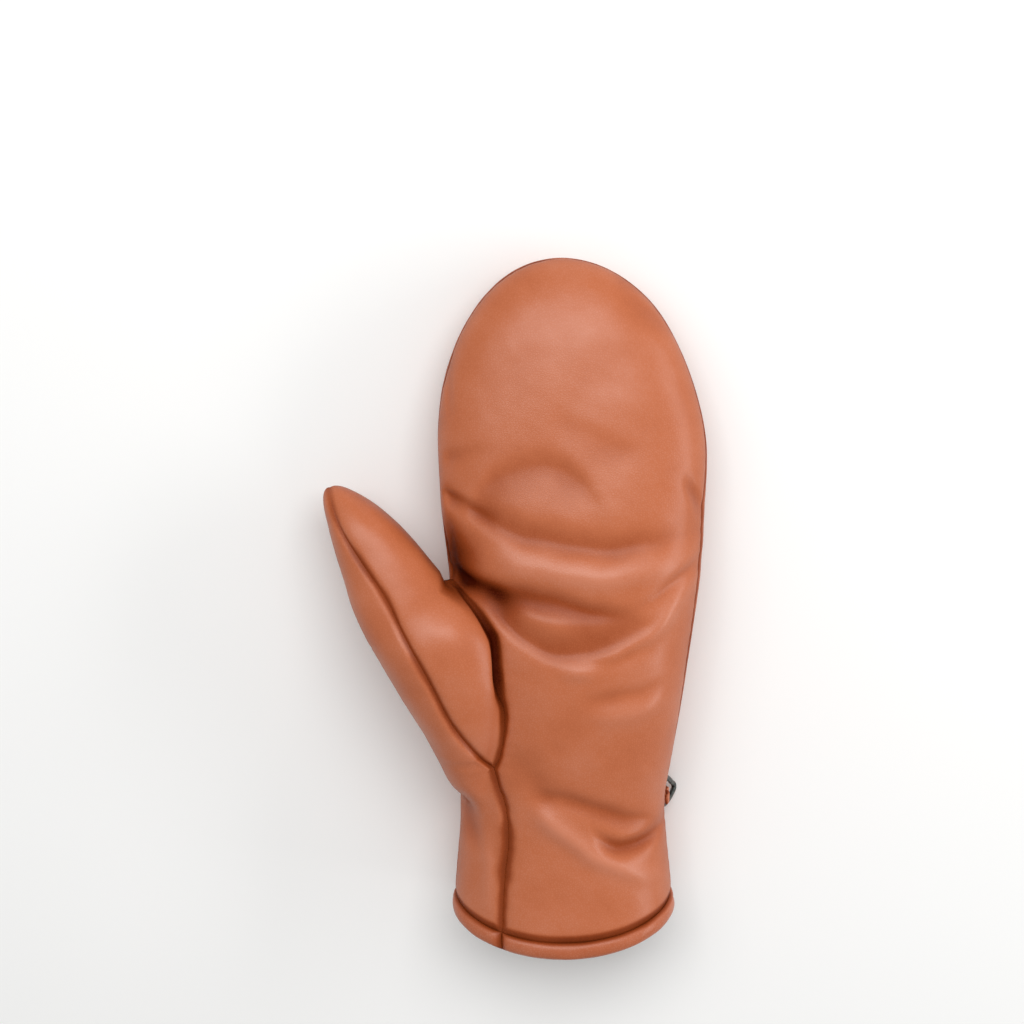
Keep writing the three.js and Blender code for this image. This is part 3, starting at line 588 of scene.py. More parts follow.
def weld(grids):
    """One skin from grids of points: points of different grids that meet become one, each cell becomes two
    triangles, and a triangle with two equal corners goes. Values beside the points are carried along."""
    points = np.concatenate([g[0].reshape(-1, 3) for g in grids])
    _, keep, index = np.unique(np.round(points, 4), axis=0, return_index=True, return_inverse=True)
    index = index.reshape(-1)
    faces, start = [], 0
    for g in grids:
        rows, columns = g[0].shape[:2]
        cell = start + np.arange(rows * columns).reshape(rows, columns)
        a, b, c, d = cell[:-1, :-1], cell[:-1, 1:], cell[1:, 1:], cell[1:, :-1]
        faces.append(np.stack([a, b, c, a, c, d], -1).reshape(-1, 3))
        start += rows * columns
    faces = index[np.concatenate(faces)]
    whole = (faces[:, 0] != faces[:, 1]) & (faces[:, 1] != faces[:, 2]) & (faces[:, 2] != faces[:, 0])
    values = [np.concatenate([value.ravel() for value in beside])[keep] for beside in list(zip(*grids))[1:]]
    return points[keep], faces[whole], values


def panel(name, grids, turned):
    """Closed leather panel: the outer skin drawn back from its seams, the same skin a leather thickness
    further in, and a wall round the edge. Each grid holds points, sink and painted shade and stain."""
    skin, faces, (sink, shade_and_stain) = weld(grids)
    if turned:
        faces = faces[:, ::-1]
    normal = outward(skin)
    outer = skin - normal * sink[:, None]
    count = len(outer)
    edges = np.concatenate([faces[:, [0, 1]], faces[:, [1, 2]], faces[:, [2, 0]]])
    code, back = edges[:, 0] * count + edges[:, 1], edges[:, 1] * count + edges[:, 0]
    rim = edges[~np.isin(code, back)]
    before, after = np.zeros(count, int), np.zeros(count, int)
    after[rim[:, 0]], before[rim[:, 1]] = rim[:, 1], rim[:, 0]
    edge = rim[:, 0]

    def inward(a, b):
        """Level with the leather and square to the edge from a to b, towards the panel."""
        side = np.cross(normal[edge], outer[b] - outer[a])
        return side / np.maximum(np.linalg.norm(side, axis=1, keepdims=True), 1e-9)

    first, second = inward(before[edge], edge), inward(edge, after[edge])
    miter = SEAM_GAP / 2 / np.maximum(0.35, 1 + (first * second).sum(1, keepdims=True))
    outer[edge] += (first + second) * miter
    outer[:, 2] = np.maximum(outer[:, 2], 0)
    inner = outer - normal * LEATHER
    a, b = rim[:, 0], rim[:, 1]
    walls = np.concatenate([np.stack([b, a, a + count], 1), np.stack([b, a + count, b + count], 1)])
    points = np.concatenate([outer, inner])
    triangles = np.concatenate([faces, faces[:, ::-1] + count, walls])
    inside = np.concatenate([np.zeros(len(faces)), np.ones(len(faces)), np.zeros(len(walls))]).astype(int)
    made = shell(name, points, triangles, inside)
    store_shade_and_stain(made, np.concatenate([shade_and_stain, np.zeros(count)]))
    made.data.materials.append(leather(name))
    made.data.materials.append(nap_leather)
    return made


def store_shade_and_stain(made, values):
    """Puts each point's painted shade and stain into the mesh."""
    written = made.data.attributes.new("shade_and_stain", "FLOAT", "POINT")
    written.data.foreach_set("value", values.astype(np.float32).ravel())


def shell(name, points, triangles, slots):
    """A smooth mesh object at the origin from points in millimetres and triangles, each with its
    material."""
    mesh = bpy.data.meshes.new(name)
    mesh.vertices.add(len(points))
    mesh.vertices.foreach_set("co", ((points - FOOTPRINT) / 1000).astype(np.float32).ravel())
    mesh.loops.add(triangles.size)
    mesh.loops.foreach_set("vertex_index", triangles.astype(np.int32).ravel())
    mesh.polygons.add(len(triangles))
    mesh.polygons.foreach_set("loop_start", np.arange(0, triangles.size, 3, dtype=np.int32))
    mesh.polygons.foreach_set("material_index", slots.astype(np.int32))
    mesh.polygons.foreach_set("use_smooth", np.ones(len(triangles), bool))
    mesh.update(calc_edges=True)
    mesh.validate()
    return added(name, mesh)


def shade_and_stain_of(p, groove_shade_and_stain):
    """Painted shade and stain: the seams' shade and stain, painted shade in the valleys of folds, a painted
    highlight on ridges and swells, painted shade in the hollow beside the crotch and on the flanks."""
    x, y, z = p[..., 0], p[..., 1], p[..., 2]
    valley = front_share(y, z) * fold_depth(x, y)
    # Painted shade in the deep hollow beside the crotch.
    hollow_shade = np.exp(-(((x - HOLLOW_SHADE_X) / 7.5) ** 2) - ((y - HOLLOW_SHADE_Y) / 8.5) ** 2) * smoothstep(8, 20, z)
    # Painted shade in fold valleys, and a painted highlight on ridges where the depth is below zero.
    folded = 0.13 * valley + 0.022 * np.maximum(valley, 0) ** 2
    # Painted shade on the flanks, darker the further the surface turns from level.
    flank_shade = 0.36 * (1 - np.abs(outward(p)[..., 2])) ** 2
    # Less on the swells of the filling: a painted highlight.
    return np.clip(folded + 0.6 * hollow_shade + flank_shade + groove_shade_and_stain - 0.3 * relief(p), -0.45, 1.6)


def node(tree, kind, **settings):
    """A node with its properties and, in 'set', its input values by name or number."""
    values = settings.pop("set", {})
    made = tree.nodes.new(kind)
    for key, value in settings.items():
        setattr(made, key, value)
    for key, value in values.items():
        made.inputs[key].default_value = value
    return made


def join(tree, source, target):
    """A link from one socket to another."""
    tree.links.new(source, target)


def maths(tree, operation, *values):
    """A maths node of two or three inputs, each a socket or a number."""
    made = node(tree, "ShaderNodeMath", operation=operation)
    for i, value in enumerate(values):
        if isinstance(value, (int, float)):
            made.inputs[i].default_value = value
        else:
            join(tree, value, made.inputs[i])
    return made.outputs[0]


def scaled(tree, value, factor, start):
    """A value times a factor, added to a start."""
    return maths(tree, "MULTIPLY_ADD", value, factor, start)


def noise(tree, vector, **values):
    """A noise texture that follows a vector, with its input values by name."""
    made = node(tree, "ShaderNodeTexNoise", set=values)
    join(tree, vector, made.inputs["Vector"])
    return made


def bumped(tree, height, strength, distance, shader):
    """Small relief on the shader's normal, from a height."""
    bump = node(tree, "ShaderNodeBump", set={"Strength": strength, "Distance": distance})
    join(tree, height, bump.inputs["Height"])
    join(tree, bump.outputs["Normal"], shader.inputs["Normal"])


def coloured(tree, value, stops, target):
    """Colour from a value by a ramp, whose stops are given as (position, colour)."""
    ramp = node(tree, "ShaderNodeValToRGB")
    made = ramp.color_ramp.elements
    made[0].position, made[-1].position = stops[0][0], stops[-1][0]
    made[0].color, made[-1].color = (*stops[0][1], 1), (*stops[-1][1], 1)
    for position, colour in stops[1:-1]:
        made.new(position).color = (*colour, 1)
    join(tree, value, ramp.inputs["Fac"])
    join(tree, ramp.outputs["Color"], target)


GRAIN_SOCKETS = [
    ("INPUT", "Vector", "Vector"),
    ("INPUT", "Cell size", "Float"),
    ("OUTPUT", "Relief", "Float"),
    ("OUTPUT", "Mottle", "Float"),
]


def leather_grain():
    """Pebbled grain of smooth leather: rounded cells with fine lines between them, over a soft mottle."""
    made = bpy.data.node_groups.new("leather_grain", "ShaderNodeTree")
    for way, label, kind in GRAIN_SOCKETS:
        made.interface.new_socket(label, in_out=way, socket_type="NodeSocket" + kind)
    entry, leave = made.nodes.new("NodeGroupInput"), made.nodes.new("NodeGroupOutput")
    fineness = maths(made, "DIVIDE", 1.0, entry.outputs["Cell size"])
    where = entry.outputs["Vector"]
    bend = noise(made, where, Detail=2.0, Scale=400.0)
    shift = node(made, "ShaderNodeVectorMath", operation="MULTIPLY_ADD", set={1: (0.0005, 0.0005, 0.0005)})
    join(made, bend.outputs["Color"], shift.inputs[0])
    join(made, where, shift.inputs[2])
    cells = node(made, "ShaderNodeTexVoronoi", feature="DISTANCE_TO_EDGE", set={"Randomness": 0.9})
    join(made, shift.outputs[0], cells.inputs["Vector"])
    join(made, fineness, cells.inputs["Scale"])
    round_cell = node(made, "ShaderNodeMapRange", interpolation_type="SMOOTHSTEP", set={"From Max": 0.28})
    join(made, cells.outputs["Distance"], round_cell.inputs["Value"])
    fine = noise(made, where, Detail=4.0, Roughness=0.6)
    join(made, maths(made, "MULTIPLY", fineness, 0.6), fine.inputs["Scale"])
    fine_relief = maths(made, "MULTIPLY", fine.outputs[0], 0.5)
    join(made, scaled(made, round_cell.outputs[0], 0.6, fine_relief), leave.inputs["Relief"])
    mottle = noise(made, where, Detail=5.0, Roughness=0.55, Scale=50.0)
    join(made, mottle.outputs[0], leave.inputs["Mottle"])
    return made


grain = leather_grain()
# Painted highlight, the leather's tan, painted crease shade, and the seams' painted shade with stain.
HIGHLIGHT_TAN, TAN = (0.54, 0.185, 0.10), (0.475, 0.13, 0.05)
CREASE_SHADE_TAN, SEAM_SHADE_AND_STAIN_BROWN = (0.29, 0.055, 0.012), (0.06, 0.006, 0.001)


def leather(name, highlight=HIGHLIGHT_TAN, middle=TAN, gloss=0.33, cell=0.0009):
    """Finished leather: colour from a painted highlight on ridges through middle to painted shade, deep in
    creases and darkest in seams, with mottle and pebbled grain, a roughness that follows both, and less
    gloss in creases and at grazing angles."""
    made, tree, shader = material(name)
    where = node(tree, "ShaderNodeTexCoord")
    skin = node(tree, "ShaderNodeGroup", node_tree=grain, set={"Cell size": cell})
    join(tree, where.outputs["Object"], skin.inputs["Vector"])
    # Painted shade and stain from the mesh; below zero it is a painted highlight.
    shade_and_stain = node(tree, "ShaderNodeAttribute", attribute_name="shade_and_stain").outputs["Fac"]
    dark = maths(tree, "MAXIMUM", shade_and_stain, 0.0)
    tone = scaled(tree, skin.outputs["Mottle"], 0.34, shade_and_stain)
    tone = scaled(tree, skin.outputs["Relief"], -0.16, tone)
    # From the painted highlight through the tan to painted shade and the seams' shade and stain.
    stops = [(0.20, highlight), (0.34, middle), (0.60, CREASE_SHADE_TAN), (1.0, SEAM_SHADE_AND_STAIN_BROWN)]
    coloured(tree, scaled(tree, tone, 0.5, 0.275), stops, shader.inputs["Base Color"])
    rough = scaled(tree, skin.outputs["Mottle"], 0.16, gloss - 0.08)
    join(tree, scaled(tree, dark, 0.10, rough), shader.inputs["Roughness"])
    bumped(tree, skin.outputs["Relief"], 0.25, 0.00012, shader)
    turned = node(tree, "ShaderNodeLayerWeight", set={"Blend": 0.5}).outputs["Facing"]
    shine = scaled(tree, dark, -0.42, 0.5)
    shine = scaled(tree, maths(tree, "POWER", turned, 3.0), -0.48, shine)
    join(tree, maths(tree, "MAXIMUM", shine, 0.03), shader.inputs["Specular IOR Level"])
    shader.inputs["IOR"].default_value = 1.42
    return made


def flesh_side():
    """The rough inner face of the leather: pale brown nap with fine fibres."""
    made, tree, shader = material("flesh_side")
    where = node(tree, "ShaderNodeTexCoord").outputs["Object"]
    nap = noise(tree, where, Scale=900.0, Detail=6.0, Roughness=0.7)
    patch = noise(tree, where, Scale=60.0, Detail=3.0)
    blend = scaled(tree, nap.outputs[0], 0.6, maths(tree, "MULTIPLY", patch.outputs[0], 0.4))
    stops = [(0.3, (0.20, 0.085, 0.045)), (0.7, (0.40, 0.21, 0.12))]
    coloured(tree, blend, stops, shader.inputs["Base Color"])
    bumped(tree, nap.outputs[0], 0.6, 0.0003, shader)
    shader.inputs["Roughness"].default_value = 0.95
    shader.inputs["Sheen Weight"].default_value = 0.4
    return made


nap_leather = flesh_side()
palm = panel("palm_leather", [(palm_skin, palm_sink, shade_and_stain_of(palm_skin, palm_shade_and_stain))], False)
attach(palm, "root")
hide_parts("palm_panel")


# Back panel. The same leather, sewn to the palm panel along the side seam; below the crotch it wraps round
# the hand under the thumb, and runs out along the thumb's back to its tip. The mitten's weight presses it
# flat on the floor.
BACK_LINE = np.array([
    # y, angle round the back in degrees
    [-142, -156],
    [-60.6, -164],
    [-40, -165.5],
    [-20, -168.5],
    [-5, -172],
    [4, -175.5],
    [8, -178.5],
    [9.5, -180.5],
    [10.4, -184],
])
THUMB_SEAM = np.array([
    # s, n, groove depth
    [0, 0.6, 0.3],
    [9, -1.2, 0.7],
    [17, -1.5, 1.2],
    [31, 0.4, 1.4],
    [44, 2.8, 1.5],
    [60, 3.0, 1.5],
    [80, 3.0, 1.5],
    [97, 2.2, 1.5],
    [110, 3.6, 1.5],
    [124, 6.4, 1.8],
])
BACK_COLUMNS, WRAP_COLUMNS = 112, 66
THUMB_ROWS = 60
BRIDGE_ROWS = 6
ABOVE_ALL = 75.0


def thumb_plan(s, n):
    """Plan position, x and y, at s along the thumb from its tip and n across it."""
    x = THUMB_TIP[0] + THUMB_ALONG[0] * s + THUMB_ACROSS[0] * n
    y = THUMB_TIP[1] + THUMB_ALONG[1] * s + THUMB_ACROSS[1] * n
    return x, y


def thumb_planes(s):
    """Section planes straight across the thumb, one at each s."""
    s = np.asarray(s, float)
    x, y = thumb_plan(s, through(THUMB, 1, s))
    across = np.array([*THUMB_ACROSS, 0.0]) + 0 * s[..., None]
    return level_planes(x, y, through(THUMB, 3, s), across, *thumb_half(s))


def from_above(s):
    """Points of the thumb's front seam: the seam line in plan, dropped on the surface from above."""
    x, y = thumb_plan(s, through(THUMB_SEAM, 1, s))
    z = np.full(len(s), ABOVE_ALL)
    outside = np.ones(len(s), bool)
    while outside.any():
        z = np.where(outside, z - 0.5, z)
        outside = leather_field(np.stack([x, y, z], -1)) > 0
    above = z + 0.5
    for _ in range(16):
        middle = (z + above) / 2
        inside = leather_field(np.stack([x, y, middle], -1)) < 0
        z, above = np.where(inside, middle, z), np.where(inside, above, middle)
    return np.stack([x, y, z], -1)


def along_thumb(p):
    """How far along the thumb from its tip a point lies."""
    return (p[..., :2] - THUMB_TIP) @ THUMB_ALONG


def filling(skin, distance):
    """Uneven filling that fades out towards a seam and towards the floor."""
    return relief(skin) * smoothstep(0, 6, distance) * smoothstep(3, 14, skin[..., 2])


foot_s, crotch_s = along_thumb(thumb_side_seam[foot]), along_thumb(thumb_side_seam[crotch])
climb = np.arange(1, FORK_ROWS + 1) / FORK_ROWS
run_out = np.linspace(0, 1, THUMB_ROWS + 1)[1:]
thumb_s = crotch_s * (1 - run_out) ** 1.7
front_s = np.concatenate([[foot_s], foot_s + (crotch_s - foot_s) * climb, thumb_s])
thumb_point = thumb_planes(0.0)["origin"]
thumb_front = np.concatenate([thumb_side_seam[[foot]], from_above(front_s[1:-1]), thumb_point[None]])
rear_angle = -np.radians(60 - 27 * smoothstep(10, crotch_s, thumb_s[:-1]))
thumb_rear = cast(thumb_planes(thumb_s[:-1]), rear_angle, 0 * rear_angle)
thumb_rear = np.concatenate([thumb_side_seam[[crotch]], thumb_rear, thumb_point[None]])

back_line = on_hand(lower, np.radians(through(BACK_LINE, 1, hand_y[lower])))
back_line[crotch] = thumb_side_seam[crotch]
back_edge = np.concatenate([back_line, thumb_side_seam[crotch + 1 :]])
back_skin, back_from_side, back_from_edge = strip(
    hand_rows, rim_share, side_seam, back_edge, -1, BACK_COLUMNS
)
back_skin[tip] = finger_tip
edge_groove = np.where(np.arange(len(hand_y))[:, None] < crotch, 0, groove)
back_sink, back_shade_and_stain = sewn(
    rim_height,
    (side_seam, back_from_side, SIDE_GROOVE, SIDE_GROOVE_WIDTH, SIDE_SHADE_AND_STAIN_WIDTH),
    (back_edge, back_from_edge, edge_groove, 2.4, 1.2),
)
back_sink -= filling(back_skin, back_from_side)


def blended(a, b, t):
    """Planes turned from a to b by t."""
    made = {k: a[k] + (b[k] - a[k]) * (t[:, None] if a[k].ndim > 1 else t) for k in a}
    x, y, z = made["origin"].T
    return level_planes(x, y, z, made["across"], made["half_width"], made["half_height"])


thumb_fork = thumb_planes(front_s[1 : FORK_ROWS + 1])
turning = blended(rows_of(hand_rows, fork), thumb_fork, smoothstep(0, 1, climb))
wrap_parts = [rows_of(hand_rows, cuff), turning, thumb_planes(thumb_s)]
wrap_planes = {k: np.concatenate([part[k] for part in wrap_parts]) for k in turning}
wrap_share = np.concatenate([rim_share[cuff], np.zeros(FORK_ROWS + THUMB_ROWS)])
wrap_first = np.concatenate([back_line, thumb_rear[1:]])
wrap_second = np.concatenate([thumb_side_seam[cuff], thumb_front[1:]])
wrap_skin, from_rear, from_front = strip(
    wrap_planes, wrap_share, wrap_first, wrap_second, -1, WRAP_COLUMNS
)
wrap_skin[-1] = thumb_point

# Just above the wrist the leather bridges the fork: rows laid evenly, true to both seams
beyond = foot + BRIDGE_ROWS + 1
bridge = slice(foot + 1, beyond)
share = np.linspace(0, 1, BRIDGE_ROWS + 2)[1:-1, None, None]
laid = wrap_skin[foot] * (1 - share) + wrap_skin[beyond] * share
near_front, near_rear = (np.exp(-distance[bridge, :, None] / 2) for distance in (from_front, from_rear))
pull_front, pull_rear = wrap_skin[bridge, -1:] - laid[:, -1:], wrap_skin[bridge, :1] - laid[:, :1]
wrap_skin[bridge] = laid + pull_front * near_front + pull_rear * near_rear

high_groove = through(THUMB_SEAM, 2, front_s[1:])[:, None]
front_groove = np.concatenate([np.full((foot + 1, 1), CUFF_GROOVE), high_groove])
rear_rise = 0.3 + 0.4 * smoothstep(0, 0.25, run_out)
rear_groove = np.concatenate([np.zeros(crotch + 1), rear_rise])[:, None]
wrap_sink, wrap_shade_and_stain = sewn(
    np.concatenate([rim_height[cuff], np.full(FORK_ROWS + THUMB_ROWS, NO_HEM)]),
    (wrap_first, from_rear, rear_groove, 1.8, 1.2),
    (wrap_second, from_front, front_groove, 2.8, 1.5 + 0.9 * beyond_foot(wrap_second[:, 1])),
)
wrap_sink -= filling(wrap_skin, from_front)

back_grids = [
    (back_skin, back_sink, shade_and_stain_of(back_skin, back_shade_and_stain)),
    (wrap_skin, wrap_sink, shade_and_stain_of(wrap_skin, wrap_shade_and_stain)),
]
back = panel("back_leather", back_grids, True)
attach(back, "root")
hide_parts("back_panel")


# Thumb panel. A leaf of the same leather over the ball and front of the thumb, sewn to the palm panel on
# one side and to the back panel on the other. The two seams meet at the wrist and at the thumb's tip.
THUMB_COLUMNS = 96
fork_low = thumb_side_seam[fork]
middle_s = (along_thumb(fork_low) + along_thumb(thumb_front[1 : FORK_ROWS + 1])) / 2
leaf_planes = thumb_planes(np.concatenate([middle_s, thumb_s]))
leaf_first = np.concatenate([fork_low, thumb_rear[1:]])
leaf_second = thumb_front[1:]
no_share = np.zeros(len(leaf_first))
leaf_skin, leaf_low, leaf_high = strip(leaf_planes, no_share, leaf_first, leaf_second, 1, THUMB_COLUMNS)
leaf_skin[-1] = thumb_point
low_groove = np.concatenate([through(PALM_SEAM, 2, hand_y[fork]), rear_rise])[:, None]
leaf_sink, leaf_shade_and_stain = sewn(
    no_share + NO_HEM,
    (leaf_first, leaf_low, low_groove, 2.8, 1.5),
    (leaf_second, leaf_high, high_groove, 2.8, 1.6),
)
leaf_sink -= relief(leaf_skin) * smoothstep(0, 6, np.minimum(leaf_low, leaf_high))
start_row = np.repeat(thumb_side_seam[foot][None], THUMB_COLUMNS, 0)[None]
leaf_skin = np.concatenate([start_row, leaf_skin])
leaf_sink = np.concatenate([np.full((1, THUMB_COLUMNS), CUFF_GROOVE), leaf_sink])
leaf_shade_and_stain = np.concatenate([leaf_shade_and_stain[:1], leaf_shade_and_stain])
thumb = panel("thumb_leather", [(leaf_skin, leaf_sink, shade_and_stain_of(leaf_skin, leaf_shade_and_stain))], False)
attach(thumb, "root")
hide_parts("thumb_panel")


# Hems. Two strips of the same leather, folded round the raw edge of the cuff, one over the palm and one
# round the back. Each is folded over itself into a round roll, its top edge sewn down in a groove that is
# darkened with painted shade.
HEM_OUTLINE = np.array([
    # out from the leather, height above the rim
    [-1.4, 6.7],
    [-0.3, 6.6],
    [0.6, 5.6],
    [1.0, 3.9],
    [0.85, 2.0],
    [0.3, 0.6],
    [-1.2, -0.3],
    [-3.2, -0.3],
    [-4.8, 0.2],
    [-5.6, 1.8],
    [-5.6, 8.0],
    [-4.3, 8.0],
    [-4.3, 1.5],
    [-3.8, 1.0],
    [-1.7, 1.0],
    [-1.25, 1.5],
])
HEM_STEPS = 150
HEM_MIDDLE = 3.5  # above the rim
# The hem ends' groove depth and width, and the width of their painted shade and stain.
HEM_GROOVE, HEM_GROOVE_WIDTH, HEM_SHADE_AND_STAIN_WIDTH = 1.6, 3.0, 1.6
# The hem's painted highlight colour and its own tan.
HEM_HIGHLIGHT, HEM_TAN = (0.52, 0.19, 0.11), (0.43, 0.11, 0.042)


def corners_cut(outline):
    """The closed outline with each corner cut at a quarter of both sides, twice over."""
    for _ in range(2):
        after = np.roll(outline, -1, 0)
        cuts = [0.75 * outline + 0.25 * after, 0.25 * outline + 0.75 * after]
        outline = np.stack(cuts, 1).reshape(-1, 2)
    return outline


def swept(name, sections, looped=False):
    """Smooth tube through sections of equal count, one a row: four-sided faces between neighbours, and an
    end face on the first and last row, or none where the rows close in a loop."""
    rows, count = sections.shape[:2]
    cell = np.arange(rows * count).reshape(rows, count)
    if looped:
        cell = np.concatenate([cell, cell[:1]])
    turned = np.roll(cell, -1, 1)
    faces = np.stack([cell[:-1], turned[:-1], turned[1:], cell[1:]], -1).reshape(-1, 4)
    centre = sections.mean(1)
    a, b, c = (sections.reshape(-1, 3)[faces[:, k]] for k in (0, 1, 2))
    facing = (np.cross(b - a, c - a) * (a - centre[faces[:, 0] // count])).sum()
    ends = [] if looped else [cell[0, ::-1].tolist(), cell[-1].tolist()]
    faces = faces.tolist() + ends
    if facing < 0:
        faces = [f[::-1] for f in faces]
    mesh = bpy.data.meshes.new(name)
    mesh.from_pydata(((sections.reshape(-1, 3) - FOOTPRINT) / 1000).tolist(), [], faces)
    mesh.polygons.foreach_set("use_smooth", np.ones(len(faces), bool))
    mesh.update()
    return added(name, mesh)


rim_plane = hand_planes(np.array([RIM + HEM_MIDDLE]))
cuff_seam_angle = angle_at(rim_plane, np.ones(1), np.array([through(CUFF_SEAM, 1, RIM)]))[0]
hem_outline = corners_cut(HEM_OUTLINE)
hem_leather = leather("hem_leather", HEM_HIGHLIGHT, HEM_TAN)


def hem(name, last, node_name):
    """Hem strip from the side seam to the seam at angle last: the outline set out along the leather's level
    normal at each angle, drawn in towards both ends, and never below the floor."""
    angle = np.linspace(0, last, HEM_STEPS + 1)
    count = len(hem_outline)
    planes = spread(hand_planes(RIM + hem_outline[:, 1]), len(angle))
    turn = np.repeat(angle[None], count, 0)
    surface = cast(planes, turn, rim_y(turn) - RIM).transpose(1, 0, 2)
    line = cast(spread(rim_plane, len(angle)), angle[None], rim_y(angle[None]) - RIM)[0]
    level = outward(line) * np.array([1, 0, 1])
    level /= np.linalg.norm(level, axis=1, keepdims=True)
    run = np.cumsum(np.linalg.norm(np.diff(line, axis=0, prepend=line[:1]), axis=1))
    near = np.minimum(run, run[-1] - run)
    tuck = roll(near, HEM_GROOVE, HEM_GROOVE_WIDTH)[:, None]
    tuck = tuck * np.clip((hem_outline[:, 0] + 1.3) / 2.0, 0, 1)
    swell = 0.18 * waves(surface, 11, 24, 7, 26) * (hem_outline[:, 0] > -0.5)
    points = surface + level[:, None] * (hem_outline[:, 0] - tuck + swell)[..., None]
    pull = np.gradient(line, axis=0)
    pull /= np.linalg.norm(pull, axis=1, keepdims=True)
    points[0] += pull[0] * SEAM_GAP / 2
    points[-1] -= pull[-1] * SEAM_GAP / 2
    points[..., 2] = np.maximum(points[..., 2], 0)
    made = swept(name, points)
    # Painted shade along the strip's top edge in the groove, and painted shade and stain at the ends.
    groove_top_shade = 0.9 * smoothstep(5.2, 6.9, hem_outline[:, 1])[None]
    store_shade_and_stain(made, np.maximum(groove_top_shade, seam_shade_and_stain(near[:, None], HEM_GROOVE, line, HEM_SHADE_AND_STAIN_WIDTH)))
    made.data.materials.append(hem_leather)
    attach(made, "root")
    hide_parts(node_name)


hem("palm_hem_leather", cuff_seam_angle, "palm_hem")
hem("back_hem_leather", cuff_seam_angle - 2 * np.pi, "back_hem")


# Keeper. A narrow strip of cut leather, sewn into the side seam at the wrist, that goes out round the
# ring's straight bar and back into the seam.
RING_Y = -80.2
RING_WIRE = 1.05
RING_BAR_AT = np.array([59.0, 11.4])
KEEPER_WIDTH, KEEPER_LEATHER = 4.0, 1.1
KEEPER_EYE = RING_WIRE + 0.3 + KEEPER_LEATHER / 2
KEEPER_STEPS = 120


def curve(points, count, looped=False):
    """Smooth curve through points: each coordinate follows its cubic against the number of the point."""
    at = np.linspace(0, len(points) - 1, count)
    if looped:
        at = np.linspace(2, len(points) + 2, count + 1)[:-1]
        points = np.concatenate([points[-2:], points, points[:3]])
    table = np.column_stack([np.arange(len(points)), points])
    return np.stack([through(table, k + 1, at) for k in range(points.shape[1])], -1)


def beside_hand(degrees, out):
    """Point (x, z) beside the wrist: on the leather at an angle, pushed out from the wrist's centre."""
    plane = hand_planes(np.array([RING_Y]))
    p = cast(plane, np.radians([degrees]), np.zeros(1))[0]
    away = p - plane["origin"][0]
    return (p + away / np.linalg.norm(away) * out)[[0, 2]]


def round_bar(degrees):
    """Point (x, z) on the keeper's eye round the ring's bar."""
    angle = np.radians(degrees)
    return RING_BAR_AT + KEEPER_EYE * np.array([np.cos(angle), np.sin(angle)])


keeper_path = curve(np.array(
    [beside_hand(-3, -0.4), beside_hand(-12, 0.9), beside_hand(-21, 1.05)]
    + [round_bar(a) for a in (150, 200, 250, 300, 350, 400)]
    + [beside_hand(-19, 2.75), beside_hand(-11, 2.25), beside_hand(-3, 0.9)]
), KEEPER_STEPS)
keeper_way = np.gradient(keeper_path, axis=0)
keeper_way /= np.linalg.norm(keeper_way, axis=1, keepdims=True)
round_angle = np.linspace(0, 2 * np.pi, 29)[:-1]
cut_edge = np.abs(np.cos(round_angle)) ** 0.3 * np.sign(np.cos(round_angle)) * KEEPER_WIDTH / 2
cut_face = np.abs(np.sin(round_angle)) ** 0.5 * np.sign(np.sin(round_angle)) * KEEPER_LEATHER / 2
keeper_points = np.stack([
    keeper_path[:, :1] - keeper_way[:, 1:] * cut_face,
    RING_Y + 0 * keeper_path[:, :1] + cut_edge,
    keeper_path[:, 1:] + keeper_way[:, :1] * cut_face,
], -1)
keeper = swept("keeper_leather", keeper_points)
store_shade_and_stain(keeper, np.repeat(0.5 * (np.abs(cut_edge) > 0.475 * KEEPER_WIDTH)[None], KEEPER_STEPS, 0))
keeper.data.materials.append(leather("keeper_leather", gloss=0.5, cell=0.0006))
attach(keeper, "root")
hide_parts("side_loop")


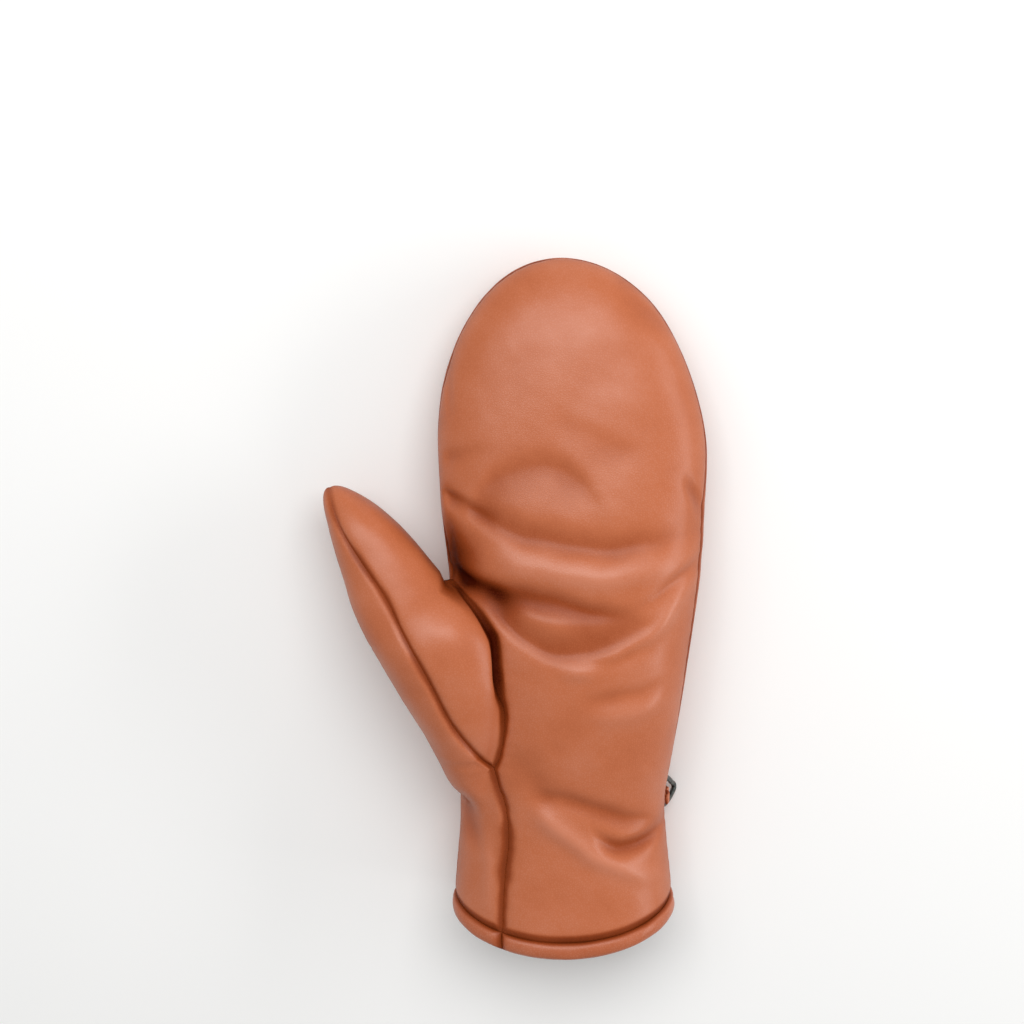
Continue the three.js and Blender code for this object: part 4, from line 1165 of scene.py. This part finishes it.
# Clip ring. A small D of round steel wire, plated dark gunmetal, whose straight bar lies in the keeper;
# below it the ring swells and narrows to a lip. It hangs down beside the wrist, and the mitten can be
# hung by it.
RING_LOW = np.array([64.3, 1.5])
RING_BAR, RING_DROP = 13.0, 10.4
RING_STEPS, WIRE_SIDES = 220, 20
half = RING_BAR / 2 - RING_WIRE
RING_OUTLINE = np.array([
    # along the bar, drop below it
    [0, 0],
    [half - 1.6, 0],
    [half - 0.4, 0.5],
    [half, 1.8],
    [0.86 * half, 4.2],
    [0.42 * half, 0.72 * RING_DROP],
    [0.6, 0.95 * RING_DROP],
    [-0.7, RING_DROP],
    [-2.0, 0.93 * RING_DROP],
    [-0.78 * half, 0.55 * RING_DROP],
    [-half, 1.8],
    [-half + 0.4, 0.5],
    [-half + 1.6, 0],
])
hang = (RING_LOW - RING_BAR_AT) / np.linalg.norm(RING_LOW - RING_BAR_AT)
ring_flat = curve(RING_OUTLINE, RING_STEPS, True)
flat_way = np.roll(ring_flat, -1, 0) - np.roll(ring_flat, 1, 0)
flat_way /= np.linalg.norm(flat_way, axis=1, keepdims=True)
wire_angle = np.linspace(0, 2 * np.pi, WIRE_SIDES + 1)[:-1]
flat_out = np.stack([-flat_way[:, 1], flat_way[:, 0]], -1)
ring_side = ring_flat[:, :1] + flat_out[:, :1] * RING_WIRE * np.cos(wire_angle)
ring_drop = ring_flat[:, 1:] + flat_out[:, 1:] * RING_WIRE * np.cos(wire_angle)
ring_through = RING_WIRE * np.sin(wire_angle) + 0 * ring_drop
ring_points = np.stack([
    RING_BAR_AT[0] + hang[0] * ring_drop - hang[1] * ring_through,
    RING_Y + ring_side,
    RING_BAR_AT[1] + hang[1] * ring_drop + hang[0] * ring_through,
], -1)
ring = swept("ring_metal", ring_points, True)


def gunmetal():
    """Dark plated steel: a metal with faint mottled wear, fine scratches and a little brighter worn
    patches."""
    made, tree, shader = material("gunmetal")
    where = node(tree, "ShaderNodeTexCoord").outputs["Object"]
    wear = noise(tree, where, Scale=420.0, Detail=5.0, Roughness=0.6).outputs[0]
    scratch = noise(tree, where, Scale=2600.0, Detail=3.0).outputs[0]
    stops = [(0.42, (0.055, 0.062, 0.062)), (0.72, (0.22, 0.23, 0.21))]
    coloured(tree, wear, stops, shader.inputs["Base Color"])
    shader.inputs["Metallic"].default_value = 1.0
    join(tree, scaled(tree, wear, 0.25, 0.20), shader.inputs["Roughness"])
    bumped(tree, scratch, 0.15, 0.00004, shader)
    return made


ring.data.materials.append(gunmetal())
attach(ring, "root")
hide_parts("clip_ring")
